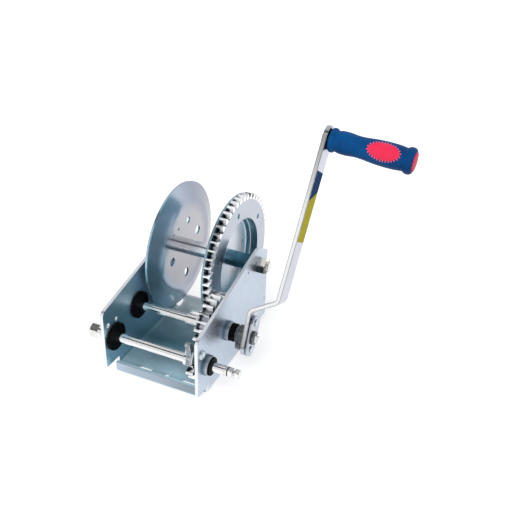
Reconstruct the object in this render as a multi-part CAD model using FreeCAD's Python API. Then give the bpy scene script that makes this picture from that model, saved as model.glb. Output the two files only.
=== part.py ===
import FreeCAD, Part
import math
import os

# Two-speed hand winch. X runs along the shafts from midway between the side plates, Y from the plates' front
# edge to the rear and Z up from the underside of the base. Finished pieces are set down with the origin in
# the middle of the base. Lengths are in mm.

# Frame: one sheet folded into a channel
FRAME_WIDTH = 124.0
SHEET = 4.0
BEND_RADIUS = 3.0
PLATE_LENGTH = 186.0
PLATE_FRONT_HEIGHT = 88.5
PLATE_FOOT = 13.0
FOLD_SETBACK = 25.0
PEAK_AHEAD = 2.8
PEAK_ABOVE = 23.5
SHOULDER_ABOVE = 8.9
FRONT_CORNER_RADIUS = 8.0
PEAK_RADIUS = 6.0
SHOULDER_RADIUS = 6.0
FOOT_RADIUS = 1.5
BASE_SIDE_GAP = 5.0
LIP_SETBACK = 10.8
LIP_HEIGHT = 15.5
SLOT_SETBACK = 28.0
SLOT_INSET = 29.0
SLOT_LENGTH = 20.0
SLOT_WIDTH = 9.0
PATTERN_OFFSET = 4.0
PILOT_HOLES = ((24.0, 82.5), (129.0, 106.0), (181.5, 39.5))
PILOT_RADIUS = 1.5

# Gears and shaft places
MODULE = 3.175
PRESSURE_ANGLE = 25.0
RING_TEETH = 51
GEAR_TEETH = 24
PINION_TEETH = 10
PROFILE_SHIFT = 0.1
DEDENDUM = 1.25
BACKLASH = 0.3
FRONT_AXIS_Y = 20.5
FRONT_AXIS_Z = 45.3
MIDDLE_RISE = 13.8
DRUM_RISE = 26.3
FRONT_PINION_WIDTH = 9.0
MIDDLE_GEAR_WIDTH = 13.2
MIDDLE_GEAR_HUB_LENGTH = 3.4
MIDDLE_GEAR_HUB_RADIUS = 11.0
RING_WIDTH = 8.8
RING_TO_GEAR_GAP = 1.5
PINION_TO_FLANGE_GAP = 0.5
RING_OPENING_RADIUS = 53.0
RIVET_COUNT = 6
RIVET_CIRCLE = 63.5
RIVET_RADIUS = 3.25
RIVET_HEAD_RADIUS = 5.0
RIVET_HEAD_HEIGHT = 1.4
RIVET_RECESS = 0.8
RIVET_FIRST_ANGLE = 36.0

# Shafts and bushes
SHAFT_RADIUS = 5.55
FLATS_ACROSS = 9.0
FLATS_LEAD = 0.2
FRONT_FLATS_TURN = 0.0
SHAFT_OVERHANG = 12.0
SHAFT_CHAMFER = 0.8
GROOVE_DEPTH = 1.2
GROOVE_WIDTH = 2.2
BUSH_FLANGE_RADIUS = 17.0
BUSH_FLANGE_THICKNESS = 3.2
BUSH_BARREL_RADIUS = 10.8
BUSH_PROJECTION = 12.0
BUSH_FRONT_PROJECTION = 8.0
BUSH_LEFT_PROJECTION = 7.0
BUSH_EDGE = 0.8
WASHER_RADIUS = 12.0
WASHER_THICKNESS = 6.0
SLEEVE_LENGTH = 18.0
SLEEVE_RADIUS = 7.5
COLLAR_LENGTH = 9.4
COLLAR_RADIUS = 8.0
SPACER_LENGTH = 8.6
SPACER_RADIUS = 8.5
FRONT_NUT_ACROSS = 16.0
FRONT_THREAD_RADIUS = 5.0
FRONT_NUT_LENGTH = 11.0
FRONT_THREAD_END = 2.0
END_RING_RADIUS = 8.5
END_RING_THICKNESS = 1.5
MIDDLE_LEFT_END = 2.5

# Drum
FLANGE_SIDE_GAP = 8.7
FLANGE_SHEET = 2.5
FLANGE_RADIUS = 82.8
FLANGE_FLAT_RADIUS = 60.0
FLANGE_DISH = 6.8
FLANGE_CLEARANCE = 6.0
FLANGE_CORNER = 42.0
RIGHT_DISH_OUTER = 52.5
RIGHT_DISH_INNER = 50.5
RIGHT_DISH_DEPTH = 7.0
RIGHT_DISH_CORNER = 3.0
KEEPER_CIRCLE = 41.0
KEEPER_ANGLE = 4.0
KEEPER_RADIUS = 2.0
TUBE_RADIUS = 10.0
FLANGE_HOLES = ((15.0, 33.0, 6.0), (77.0, 34.5, 4.5), (190.0, 35.0, 5.5), (269.0, 38.5, 6.0),
                (118.0, 36.5, 2.0), (135.0, 41.5, 2.0))
BOLT_RADIUS = 6.0
BOLT_ACROSS = 19.0
BOLT_HEAD_HEIGHT = 7.5
BOLT_NUT_HEIGHT = 10.5
BOLT_END = 4.0

# Pawl and its spring
PIVOT_Y = 8.5
PIVOT_Z = 67.5
PIVOT_RADIUS = 3.0
PIVOT_HEAD_RADIUS = 5.5
PIVOT_HEAD_HEIGHT = 3.0
PIVOT_HEAD_EDGE = 2.4
PIVOT_END_HEIGHT = 1.8
PIVOT_SHOULDER_RADIUS = 4.2
PAWL_THICKNESS = 6.0
PAWL_OFFSET = -0.3
PAWL_HUB_RADIUS = 5.2
PAWL_NOSE_RADIUS = 2.6
PAWL_NOSE_ANGLE = 150.0
PAWL_TOOTH_GAP = 0.45
PAWL_TAIL_LENGTH = 14.4
PAWL_TAIL_ANGLE = 115.0
PAWL_TAIL_RADIUS = 3.0
ANCHOR_Y = 24.5
ANCHOR_Z = 67.5
ANCHOR_RADIUS = 2.5
SPRING_WIRE_RADIUS = 0.8
SPRING_LEG_ANGLE = 157.0
SPRING_LEG_LENGTH = 13.0

# Crank
CRANK_LEAN = 23.4
CRANK_RADIUS = 236.4
ARM_WIDTH = 25.0
ARM_THICKNESS = 5.0
ARM_HUB_DROP = 10.0
ARM_TOP_RISE = 2.0
ARM_FIRST_BEND = 32.0
ARM_SECOND_BEND = 49.5
ARM_OFFSET = 30.6
ARM_SPLAY = 4.4
ARM_BEND_RADIUS = 5.0
BOSS_LENGTH = 11.6
BOSS_RADIUS = 9.6
BOSS_BLOCK_LENGTH = 8.0
BOSS_BLOCK_WIDTH = 21.0
BOSS_BLOCK_DROP = 7.5
BOSS_BLOCK_RISE = 1.0
BOSS_EDGE = 1.0
CLIP_GAP = 1.6
CLIP_THICKNESS = 2.0
CLIP_TOP = 26.0
CLIP_RIVET_PLACES = (18.0, -14.0)
CLIP_RIVET_RADIUS = 2.5
CLIP_SPACER_RADIUS = 4.0
CLIP_HEAD_HEIGHT = 1.4
CRANK_RING_RADIUS = 8.0

# Grip
SPINDLE_RADIUS = 5.0
SPINDLE_RIVET_RADIUS = 8.0
SPINDLE_RIVET_HEIGHT = 2.5
SPINDLE_RIVET_EDGE = 2.0
SPINDLE_HEAD_RADIUS = 8.0
SPINDLE_HEAD_HEIGHT = 5.0
SPINDLE_HEAD_EDGE = 1.0
GRIP_WASHER_RADIUS = 11.5
GRIP_WASHER_THICKNESS = 1.0
GRIP_LENGTH = 93.5
GRIP_INNER_COLLAR = 12.6
GRIP_OUTER_COLLAR = 14.0
GRIP_INNER_COLLAR_LENGTH = 6.5
GRIP_OUTER_COLLAR_LENGTH = 7.5
GRIP_COLLAR_EDGE = 3.0
GRIP_INNER_STEP = 1.6
GRIP_OUTER_STEP = 3.0
GRIP_NECK = 11.4
GRIP_WAIST = 11.5
GRIP_WAIST_PLACE = 32.0
GRIP_SWELL = 13.6
GRIP_SWELL_PLACE = 61.0
GRIP_THROAT = 12.6
GRIP_POCKET_RADIUS = 9.5
GRIP_POCKET_DEPTH = 14.0
CAP_PLUG_LENGTH = 5.0
CAP_RADIUS = 10.6
CAP_HEIGHT = 1.0
CAP_EDGE = 0.8
INSERT_PLACE = 61.5
INSERT_HALF_LENGTH = 17.2
INSERT_HALF_WIDTH = 8.8
INSERT_DEPTH = 1.2
INSERT_PROUD = 0.5
INSERT_FACING = 171.0

# Fits
RUNNING_GAP = 0.05
SEAT_GAP = 0.02
SIDE_PLAY = 0.4

# Shaft places in the side view. A flange too large for the ring gear's spacing calls for more ring teeth.
GEAR_SPACING = MODULE * (PINION_TEETH + GEAR_TEETH) / 2
FLANGE_SPACING = FLANGE_RADIUS + FLANGE_CLEARANCE + SLEEVE_RADIUS
DRUM_TEETH = max(RING_TEETH, math.ceil(2 * FLANGE_SPACING / MODULE) - PINION_TEETH)
RING_SPACING = MODULE * (PINION_TEETH + DRUM_TEETH) / 2
MIDDLE_AXIS_Y = FRONT_AXIS_Y + GEAR_SPACING * math.cos(math.radians(MIDDLE_RISE))
MIDDLE_AXIS_Z = FRONT_AXIS_Z + GEAR_SPACING * math.sin(math.radians(MIDDLE_RISE))
DRUM_AXIS_Y = MIDDLE_AXIS_Y + RING_SPACING * math.cos(math.radians(DRUM_RISE))
DRUM_AXIS_Z = MIDDLE_AXIS_Z + RING_SPACING * math.sin(math.radians(DRUM_RISE))

# Places along the shafts, from the right plate inwards and outwards
PLATE_OUTER = FRAME_WIDTH / 2
PLATE_INNER = PLATE_OUTER - SHEET
SLOT_OFFSET = PLATE_INNER - SLOT_INSET
BUSH_FACE = PLATE_INNER - BUSH_FLANGE_THICKNESS
BUSH_END = PLATE_OUTER + BUSH_PROJECTION
BUSH_FRONT_END = PLATE_OUTER + BUSH_FRONT_PROJECTION
BUSH_LEFT_END = PLATE_OUTER + BUSH_LEFT_PROJECTION
FRONT_PINION_RIGHT = BUSH_FACE - SIDE_PLAY
FRONT_PINION_LEFT = FRONT_PINION_RIGHT - FRONT_PINION_WIDTH
MIDDLE_GEAR_RIGHT = BUSH_FACE - SIDE_PLAY - MIDDLE_GEAR_HUB_LENGTH
MIDDLE_GEAR_LEFT = MIDDLE_GEAR_RIGHT - MIDDLE_GEAR_WIDTH
RING_RIGHT = MIDDLE_GEAR_LEFT - RING_TO_GEAR_GAP
RING_LEFT = RING_RIGHT - RING_WIDTH
MIDDLE_PINION_LEFT = RING_LEFT + PINION_TO_FLANGE_GAP
LEFT_FLAT = FLANGE_SIDE_GAP + FLANGE_SHEET + FLANGE_DISH - PLATE_INNER
PAWL_CENTRE = (FRONT_PINION_LEFT + FRONT_PINION_RIGHT) / 2 + PAWL_OFFSET
PAWL_RIGHT = PAWL_CENTRE + PAWL_THICKNESS / 2
PAWL_LEFT = PAWL_CENTRE - PAWL_THICKNESS / 2
SPRING_PLANE = PAWL_RIGHT + SIDE_PLAY + SPRING_WIRE_RADIUS
ARM_INNER = BUSH_END + SIDE_PLAY + BOSS_LENGTH
ARM_OUTER = ARM_INNER + ARM_THICKNESS
CLIP_INNER = ARM_OUTER + CLIP_GAP
CLIP_OUTER = CLIP_INNER + CLIP_THICKNESS
CRANK_RING_INNER = CLIP_OUTER + SIDE_PLAY
SHAFT_END = ARM_OUTER + SHAFT_OVERHANG
GRIP_START = GRIP_WASHER_THICKNESS + SIDE_PLAY
GRIP_END = GRIP_START + GRIP_LENGTH

ALONG = FreeCAD.Vector(1, 0, 0)


def point(x, y, z):
    return FreeCAD.Vector(x, y, z)


def rod(x_from, x_to, radius, y=0.0, z=0.0):
    return Part.makeCylinder(radius, x_to - x_from, point(x_from, y, z), ALONG)


def ring(x_from, x_to, outer, inner, y=0.0, z=0.0):
    return rod(x_from, x_to, outer, y, z).cut(rod(x_from, x_to, inner, y, z))


def rounded_wire(corners, place):
    """Closed outline through (a, b, radius) corners, each rounded by an arc, set in space by place(a, b)."""
    stops = []
    count = len(corners)
    for i in range(count):
        a, b, radius = corners[i]
        before = corners[i - 1]
        after = corners[(i + 1) % count]
        to_before = FreeCAD.Vector(before[0] - a, before[1] - b, 0).normalize()
        to_after = FreeCAD.Vector(after[0] - a, after[1] - b, 0).normalize()
        corner = FreeCAD.Vector(a, b, 0)
        half = to_before.getAngle(to_after) / 2
        if radius <= 0 or abs(half - math.pi / 2) < 1e-6:
            stops.append((corner, corner, corner))
            continue
        reach = radius / math.tan(half)
        inward = (to_before + to_after).normalize()
        middle = corner + inward * (radius / math.sin(half) - radius)
        stops.append((corner + to_before * reach, middle, corner + to_after * reach))
    edges = []
    for i in range(count):
        start, middle, end = [place(p.x, p.y) for p in stops[i]]
        if start.distanceToPoint(end) > 1e-6:
            edges.append(Part.Arc(start, middle, end).toShape())
        following = stops[(i + 1) % count][0]
        target = place(following.x, following.y)
        if end.distanceToPoint(target) > 1e-6:
            edges.append(Part.makeLine(end, target))
    return Part.Wire(edges)


def side_plate_shape(corners, x_from, x_to):
    """Solid with a (y, z, radius) outline between two places along the shafts."""
    wire = rounded_wire(corners, lambda y, z: point(x_from, y, z))
    return Part.Face(wire).extrude(ALONG * (x_to - x_from))


def turned(corners, y=0.0, z=0.0):
    """Solid of revolution about a line along X, from an (x, radius, corner radius) outline."""
    wire = rounded_wire(corners, lambda x, r: point(x, y, z + r))
    return Part.Face(wire).revolve(point(0, y, z), ALONG, 360)


def hexagon(x_from, x_to, across, y, z):
    radius = across / math.sqrt(3)
    corners = []
    for i in range(6):
        angle = math.radians(60 * i + 30)
        corners.append((y + radius * math.cos(angle), z + radius * math.sin(angle), 0))
    prism = side_plate_shape(corners, x_from, x_to)
    edge = radius - across / 2
    chamfered = [(x_from, 0, 0), (x_from, across / 2, 0), (x_from + edge / 2, radius, 0),
                 (x_to - edge / 2, radius, 0), (x_to, across / 2, 0), (x_to, 0, 0)]
    return prism.common(turned(chamfered, y, z))


def involute(angle):
    return math.tan(angle) - angle


def pinion_tip():
    return MODULE * (PINION_TEETH / 2 + 1 + PROFILE_SHIFT)


def gear_blank(teeth, shift, x_from, x_to, y, z, tooth_angle):
    """Spur gear with one tooth centred at tooth_angle, measured from +Y towards +Z."""
    pitch = MODULE * teeth / 2
    base = pitch * math.cos(math.radians(PRESSURE_ANGLE))
    tip = pitch + MODULE * (1 + shift)
    root = pitch - MODULE * (DEDENDUM - shift)
    slope = math.tan(math.radians(PRESSURE_ANGLE))
    half_pitch = (math.pi / 2 + 2 * shift * slope) / teeth - BACKLASH / (4 * pitch)
    half_base = half_pitch + involute(math.radians(PRESSURE_ANGLE))
    start = max(base, root)

    def at(radius, angle):
        return point(x_from, y + radius * math.cos(angle), z + radius * math.sin(angle))

    def half_width(radius):
        return half_base - involute(math.acos(min(1.0, base / radius)))

    edges = []
    for i in range(teeth):
        centre = math.radians(tooth_angle) + 2 * math.pi * i / teeth
        next_root = centre + 2 * math.pi / teeth - half_width(start)
        middle = (start + tip) / 2
        rise = [at(r, centre - half_width(r)) for r in (start, middle, tip)]
        fall = [at(r, centre + half_width(r)) for r in (tip, middle, start)]
        root_in = at(root, centre - half_width(start))
        root_out = at(root, centre + half_width(start))
        if start > root:
            edges.append(Part.makeLine(root_in, rise[0]))
        edges.append(Part.Arc(*rise).toShape())
        edges.append(Part.makeLine(rise[2], fall[0]))
        edges.append(Part.Arc(*fall).toShape())
        if start > root:
            edges.append(Part.makeLine(fall[2], root_out))
        edges.append(Part.makeLine(root_out, at(root, next_root)))
    return Part.Face(Part.Wire(edges)).extrude(ALONG * (x_to - x_from))


def channel_section():
    """Folded part of the sheet between the plates' free ends."""
    top = PLATE_FOOT + SHEET
    outer = BEND_RADIUS + SHEET
    corners = [(-PLATE_OUTER, top, 0), (-PLATE_OUTER, 0, outer), (PLATE_OUTER, 0, outer),
               (PLATE_OUTER, top, 0), (PLATE_INNER, top, 0), (PLATE_INNER, SHEET, BEND_RADIUS),
               (-PLATE_INNER, SHEET, BEND_RADIUS), (-PLATE_INNER, top, 0)]
    wire = rounded_wire(corners, lambda x, z: point(x, FOLD_SETBACK, z))
    return Part.Face(wire).extrude(point(0, PLATE_LENGTH - 2 * FOLD_SETBACK, 0))


def lipped_end():
    """Front end of the base with its upturned lip."""
    half = PLATE_INNER - BASE_SIDE_GAP
    inside = LIP_SETBACK + SHEET
    corners = [(LIP_SETBACK, LIP_HEIGHT, 0), (LIP_SETBACK, 0, BEND_RADIUS + SHEET), (FOLD_SETBACK, 0, 0),
               (FOLD_SETBACK, SHEET, 0), (inside, SHEET, BEND_RADIUS), (inside, LIP_HEIGHT, 0)]
    return side_plate_shape(corners, -half, half)


def slot_cut(x, y):
    straight = (SLOT_LENGTH - SLOT_WIDTH) / 2
    tool = Part.makeBox(2 * straight, SLOT_WIDTH, SHEET, point(x - straight, y - SLOT_WIDTH / 2, 0))
    for end in (x - straight, x + straight):
        tool = tool.fuse(Part.makeCylinder(SLOT_WIDTH / 2, SHEET, point(end, y, 0)))
    return tool


def make_frame():
    rear = PLATE_LENGTH
    peak = (DRUM_AXIS_Y - PEAK_AHEAD, DRUM_AXIS_Z + PEAK_ABOVE, PEAK_RADIUS)
    shoulder = (rear, DRUM_AXIS_Z + SHOULDER_ABOVE, SHOULDER_RADIUS)
    outline = [(0, PLATE_FOOT, FOOT_RADIUS), (0, PLATE_FRONT_HEIGHT, FRONT_CORNER_RADIUS), peak, shoulder,
               (rear, PLATE_FOOT, FOOT_RADIUS)]
    sheet = channel_section()
    front = lipped_end()
    back = front.mirror(point(0, PLATE_LENGTH / 2, 0), point(0, 1, 0))
    right = side_plate_shape(outline, PLATE_INNER, PLATE_OUTER)
    left = side_plate_shape(outline, -PLATE_OUTER, -PLATE_INNER)
    sheet = sheet.multiFuse([front, back, right, left]).removeSplitter()
    cuts = []
    for y in (SLOT_SETBACK, PLATE_LENGTH - SLOT_SETBACK):
        cuts.append(slot_cut(PATTERN_OFFSET - SLOT_OFFSET, y))
        cuts.append(slot_cut(PATTERN_OFFSET + SLOT_OFFSET, y))
        cuts.append(Part.makeCylinder(SLOT_WIDTH / 2, SHEET, point(PATTERN_OFFSET, y, 0)))
    for y, z in PILOT_HOLES:
        cuts.append(rod(PLATE_INNER, PLATE_OUTER, PILOT_RADIUS, y, z))
    holes = [(FRONT_AXIS_Y, FRONT_AXIS_Z, BUSH_BARREL_RADIUS + SEAT_GAP),
             (MIDDLE_AXIS_Y, MIDDLE_AXIS_Z, BUSH_BARREL_RADIUS + SEAT_GAP),
             (DRUM_AXIS_Y, DRUM_AXIS_Z, BOLT_RADIUS + SEAT_GAP),
             (PIVOT_Y, PIVOT_Z, PIVOT_RADIUS + SEAT_GAP),
             (ANCHOR_Y, ANCHOR_Z, ANCHOR_RADIUS + SEAT_GAP)]
    for y, z, radius in holes:
        cuts.append(rod(-PLATE_OUTER, -PLATE_INNER, radius, y, z))
        cuts.append(rod(PLATE_INNER, PLATE_OUTER, radius, y, z))
    for tool in cuts:
        sheet = sheet.cut(tool)
    return sheet


def make_bush(end, y, z):
    bore = SHAFT_RADIUS + RUNNING_GAP
    corners = [(BUSH_FACE, bore, 0), (BUSH_FACE, BUSH_FLANGE_RADIUS, BUSH_EDGE),
               (PLATE_INNER, BUSH_FLANGE_RADIUS, 0), (PLATE_INNER, BUSH_BARREL_RADIUS, 0),
               (end, BUSH_BARREL_RADIUS, BUSH_EDGE), (end, bore, 0)]
    return turned(corners, y, z)


def make_left_bush(y, z):
    return make_bush(BUSH_LEFT_END, y, z).mirror(point(0, 0, 0), ALONG)


def make_bush_washers():
    washers = []
    for y, z in ((FRONT_AXIS_Y, FRONT_AXIS_Z), (MIDDLE_AXIS_Y, MIDDLE_AXIS_Z)):
        hole = BUSH_BARREL_RADIUS + SEAT_GAP
        washers.append(ring(PLATE_OUTER, PLATE_OUTER + WASHER_THICKNESS, WASHER_RADIUS, hole, y, z))
        washers.append(ring(-PLATE_OUTER - WASHER_THICKNESS, -PLATE_OUTER, WASHER_RADIUS, hole, y, z))
    return Part.makeCompound(washers)


def make_drum_bolt():
    nut_face = PLATE_OUTER + BOLT_NUT_HEIGHT
    shank = rod(-PLATE_OUTER, nut_face + BOLT_END, BOLT_RADIUS, DRUM_AXIS_Y, DRUM_AXIS_Z)
    head = hexagon(-PLATE_OUTER - BOLT_HEAD_HEIGHT, -PLATE_OUTER, BOLT_ACROSS, DRUM_AXIS_Y, DRUM_AXIS_Z)
    return shank.fuse(head)


def make_drum_nut():
    nut_face = PLATE_OUTER + BOLT_NUT_HEIGHT
    nut = hexagon(PLATE_OUTER, nut_face, BOLT_ACROSS, DRUM_AXIS_Y, DRUM_AXIS_Z)
    return nut.cut(rod(PLATE_OUTER, nut_face, BOLT_RADIUS + SEAT_GAP, DRUM_AXIS_Y, DRUM_AXIS_Z))


def make_drum_tube():
    end = PLATE_INNER - SIDE_PLAY
    return ring(-end, end, TUBE_RADIUS, BOLT_RADIUS + RUNNING_GAP, DRUM_AXIS_Y, DRUM_AXIS_Z)


def drum_point(radius, angle):
    turn = math.radians(angle)
    return DRUM_AXIS_Y + radius * math.cos(turn), DRUM_AXIS_Z + radius * math.sin(turn)


def make_drum_flange_left():
    seat = TUBE_RADIUS + SEAT_GAP
    back = LEFT_FLAT - FLANGE_SHEET
    inside = FLANGE_CORNER - FLANGE_SHEET
    corners = [(LEFT_FLAT, seat, 0), (LEFT_FLAT, FLANGE_FLAT_RADIUS, FLANGE_CORNER),
               (LEFT_FLAT - FLANGE_DISH, FLANGE_RADIUS, 0), (back - FLANGE_DISH, FLANGE_RADIUS, 0),
               (back, FLANGE_FLAT_RADIUS, inside), (back, seat, 0)]
    flange = turned(corners, DRUM_AXIS_Y, DRUM_AXIS_Z)
    for angle, radius, hole in FLANGE_HOLES:
        y, z = drum_point(radius, angle)
        flange = flange.cut(rod(back, LEFT_FLAT, hole, y, z))
    return flange


def make_drum_flange_right():
    seat = TUBE_RADIUS + SEAT_GAP
    front = RING_LEFT
    back = front - FLANGE_SHEET
    deep_front = front - RIGHT_DISH_DEPTH
    deep_back = back - RIGHT_DISH_DEPTH
    soft = RIGHT_DISH_CORNER
    corners = [(deep_front, seat, 0), (deep_front, RIGHT_DISH_INNER, soft), (front, RIGHT_DISH_OUTER, soft),
               (front, FLANGE_RADIUS, 0), (back, FLANGE_RADIUS, 0),
               (back, RIGHT_DISH_OUTER + FLANGE_SHEET, soft),
               (deep_back, RIGHT_DISH_INNER + FLANGE_SHEET, soft), (deep_back, seat, 0)]
    flange = turned(corners, DRUM_AXIS_Y, DRUM_AXIS_Z)
    for y, z in rivet_places():
        flange = flange.cut(rod(back, front, RIVET_RADIUS + SEAT_GAP, y, z))
    y, z = drum_point(KEEPER_CIRCLE, KEEPER_ANGLE)
    return flange.cut(rod(deep_back, deep_front, KEEPER_RADIUS, y, z))


def rivet_places():
    step = 360.0 / RIVET_COUNT
    return [drum_point(RIVET_CIRCLE, RIVET_FIRST_ANGLE + i * step) for i in range(RIVET_COUNT)]


def make_ring_gear():
    gap_angle = DRUM_RISE + 180.0 + 180.0 / DRUM_TEETH
    gear = gear_blank(DRUM_TEETH, -PROFILE_SHIFT, RING_LEFT, RING_RIGHT, DRUM_AXIS_Y, DRUM_AXIS_Z, gap_angle)
    gear = gear.cut(rod(RING_LEFT, RING_RIGHT, RING_OPENING_RADIUS, DRUM_AXIS_Y, DRUM_AXIS_Z))
    for y, z in rivet_places():
        gear = gear.cut(rod(RING_LEFT, RING_RIGHT, RIVET_RADIUS + SEAT_GAP, y, z))
    return gear


def make_gear_rivets():
    face = RING_LEFT - FLANGE_SHEET
    rivets = []
    for y, z in rivet_places():
        shank = rod(face, RING_RIGHT - RIVET_RECESS, RIVET_RADIUS, y, z)
        rivets.append(shank.fuse(rod(face - RIVET_HEAD_HEIGHT, face, RIVET_HEAD_RADIUS, y, z)))
    return Part.makeCompound(rivets)


def make_pinion(x_from, x_to, y, z, tooth_angle):
    pinion = gear_blank(PINION_TEETH, PROFILE_SHIFT, x_from, x_to, y, z, tooth_angle)
    return pinion.cut(rod(x_from, x_to, SHAFT_RADIUS + SEAT_GAP, y, z))


def make_front_pinion():
    return make_pinion(FRONT_PINION_LEFT, FRONT_PINION_RIGHT, FRONT_AXIS_Y, FRONT_AXIS_Z, MIDDLE_RISE)


def make_middle_pinion():
    return make_pinion(MIDDLE_PINION_LEFT, MIDDLE_GEAR_LEFT, MIDDLE_AXIS_Y, MIDDLE_AXIS_Z, DRUM_RISE)


def make_middle_gear():
    gap_angle = MIDDLE_RISE + 180.0 + 180.0 / GEAR_TEETH
    gear = gear_blank(GEAR_TEETH, -PROFILE_SHIFT, MIDDLE_GEAR_LEFT, MIDDLE_GEAR_RIGHT,
                      MIDDLE_AXIS_Y, MIDDLE_AXIS_Z, gap_angle)
    hub_end = MIDDLE_GEAR_RIGHT + MIDDLE_GEAR_HUB_LENGTH
    gear = gear.fuse(rod(MIDDLE_GEAR_RIGHT, hub_end, MIDDLE_GEAR_HUB_RADIUS, MIDDLE_AXIS_Y, MIDDLE_AXIS_Z))
    return gear.cut(rod(MIDDLE_GEAR_LEFT, hub_end, SHAFT_RADIUS + SEAT_GAP, MIDDLE_AXIS_Y, MIDDLE_AXIS_Z))


def flatted_rod(x_from, x_to, radius, flats):
    block = Part.makeBox(x_to - x_from, flats, flats, point(x_from, -flats / 2, -flats / 2))
    return block.common(rod(x_from, x_to, radius))


def make_shaft(left, y, z, turn):
    """Shaft with a flatted, grooved end on the right, chamfered at both ends, its flats turned about X."""
    full = SHAFT_RADIUS
    narrow = SHAFT_RADIUS - SHAFT_CHAMFER
    flats_from = ARM_INNER - FLATS_LEAD
    groove_from = CRANK_RING_INNER
    groove_to = groove_from + GROOVE_WIDTH
    tip_from = SHAFT_END - SHAFT_CHAMFER
    body = turned([(left, 0, 0), (left, narrow, 0), (left + SHAFT_CHAMFER, full, 0), (flats_from, full, 0),
                   (flats_from, 0, 0)])
    tip = turned([(groove_to, 0, 0), (groove_to, full, 0), (tip_from, full, 0), (SHAFT_END, narrow, 0),
                  (SHAFT_END, 0, 0)])
    end = flatted_rod(flats_from, groove_from, full, FLATS_ACROSS)
    end = end.fuse(rod(groove_from, groove_to, FLATS_ACROSS / 2 - GROOVE_DEPTH))
    end = end.fuse(flatted_rod(groove_to, SHAFT_END, full, FLATS_ACROSS).common(tip))
    end.rotate(point(0, 0, 0), ALONG, turn)
    shaft = body.fuse(end)
    shaft.translate(point(0, y, z))
    return shaft


def front_nut_inner():
    return -BUSH_LEFT_END - SIDE_PLAY - SPACER_LENGTH


def make_front_shaft():
    inner = front_nut_inner()
    left = inner - FRONT_NUT_LENGTH - FRONT_THREAD_END
    shaft = make_shaft(left, FRONT_AXIS_Y, FRONT_AXIS_Z, FRONT_FLATS_TURN)
    relief = ring(left, inner, SPACER_RADIUS, FRONT_THREAD_RADIUS, FRONT_AXIS_Y, FRONT_AXIS_Z)
    return shaft.cut(relief)


def make_front_collar():
    return ring(FRONT_PINION_LEFT - COLLAR_LENGTH, FRONT_PINION_LEFT, COLLAR_RADIUS,
                SHAFT_RADIUS + SEAT_GAP, FRONT_AXIS_Y, FRONT_AXIS_Z)


def make_front_spacer():
    inner = front_nut_inner()
    return ring(inner, inner + SPACER_LENGTH, SPACER_RADIUS, SHAFT_RADIUS + SEAT_GAP,
                FRONT_AXIS_Y, FRONT_AXIS_Z)


def make_front_nut():
    inner = front_nut_inner()
    outer = inner - FRONT_NUT_LENGTH
    nut = hexagon(outer, inner, FRONT_NUT_ACROSS, FRONT_AXIS_Y, FRONT_AXIS_Z)
    return nut.cut(rod(outer, inner, FRONT_THREAD_RADIUS + SEAT_GAP, FRONT_AXIS_Y, FRONT_AXIS_Z))


def make_middle_shaft():
    left = -BUSH_LEFT_END - SIDE_PLAY - END_RING_THICKNESS - MIDDLE_LEFT_END
    return make_shaft(left, MIDDLE_AXIS_Y, MIDDLE_AXIS_Z, -CRANK_LEAN)


def make_middle_sleeve():
    return ring(MIDDLE_PINION_LEFT - SLEEVE_LENGTH, MIDDLE_PINION_LEFT, SLEEVE_RADIUS,
                SHAFT_RADIUS + SEAT_GAP, MIDDLE_AXIS_Y, MIDDLE_AXIS_Z)


def make_middle_ring():
    inner = -BUSH_LEFT_END - SIDE_PLAY
    return ring(inner - END_RING_THICKNESS, inner, END_RING_RADIUS, SHAFT_RADIUS + SEAT_GAP,
                MIDDLE_AXIS_Y, MIDDLE_AXIS_Z)


def make_pawl_pin():
    corners = [(PAWL_LEFT - SIDE_PLAY - PIVOT_END_HEIGHT, 0, 0),
               (PAWL_LEFT - SIDE_PLAY - PIVOT_END_HEIGHT, PIVOT_HEAD_RADIUS, 0),
               (PAWL_LEFT - SIDE_PLAY, PIVOT_HEAD_RADIUS, 0), (PAWL_LEFT - SIDE_PLAY, PIVOT_RADIUS, 0),
               (SPRING_PLANE + SPRING_WIRE_RADIUS + SIDE_PLAY, PIVOT_RADIUS, 0),
               (SPRING_PLANE + SPRING_WIRE_RADIUS + SIDE_PLAY, PIVOT_SHOULDER_RADIUS, 0),
               (PLATE_INNER, PIVOT_SHOULDER_RADIUS, 0), (PLATE_INNER, PIVOT_RADIUS, 0),
               (PLATE_OUTER, PIVOT_RADIUS, 0), (PLATE_OUTER, PIVOT_HEAD_RADIUS, 0),
               (PLATE_OUTER + PIVOT_HEAD_HEIGHT, PIVOT_HEAD_RADIUS, PIVOT_HEAD_EDGE),
               (PLATE_OUTER + PIVOT_HEAD_HEIGHT, 0, 0)]
    return turned(corners, PIVOT_Y, PIVOT_Z)


def make_spring_anchor():
    """Plain pin pressed into the right plate, flush with its outer face."""
    inner_end = SPRING_PLANE - SPRING_WIRE_RADIUS - SIDE_PLAY
    return rod(inner_end, PLATE_OUTER, ANCHOR_RADIUS, ANCHOR_Y, ANCHOR_Z)


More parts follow.
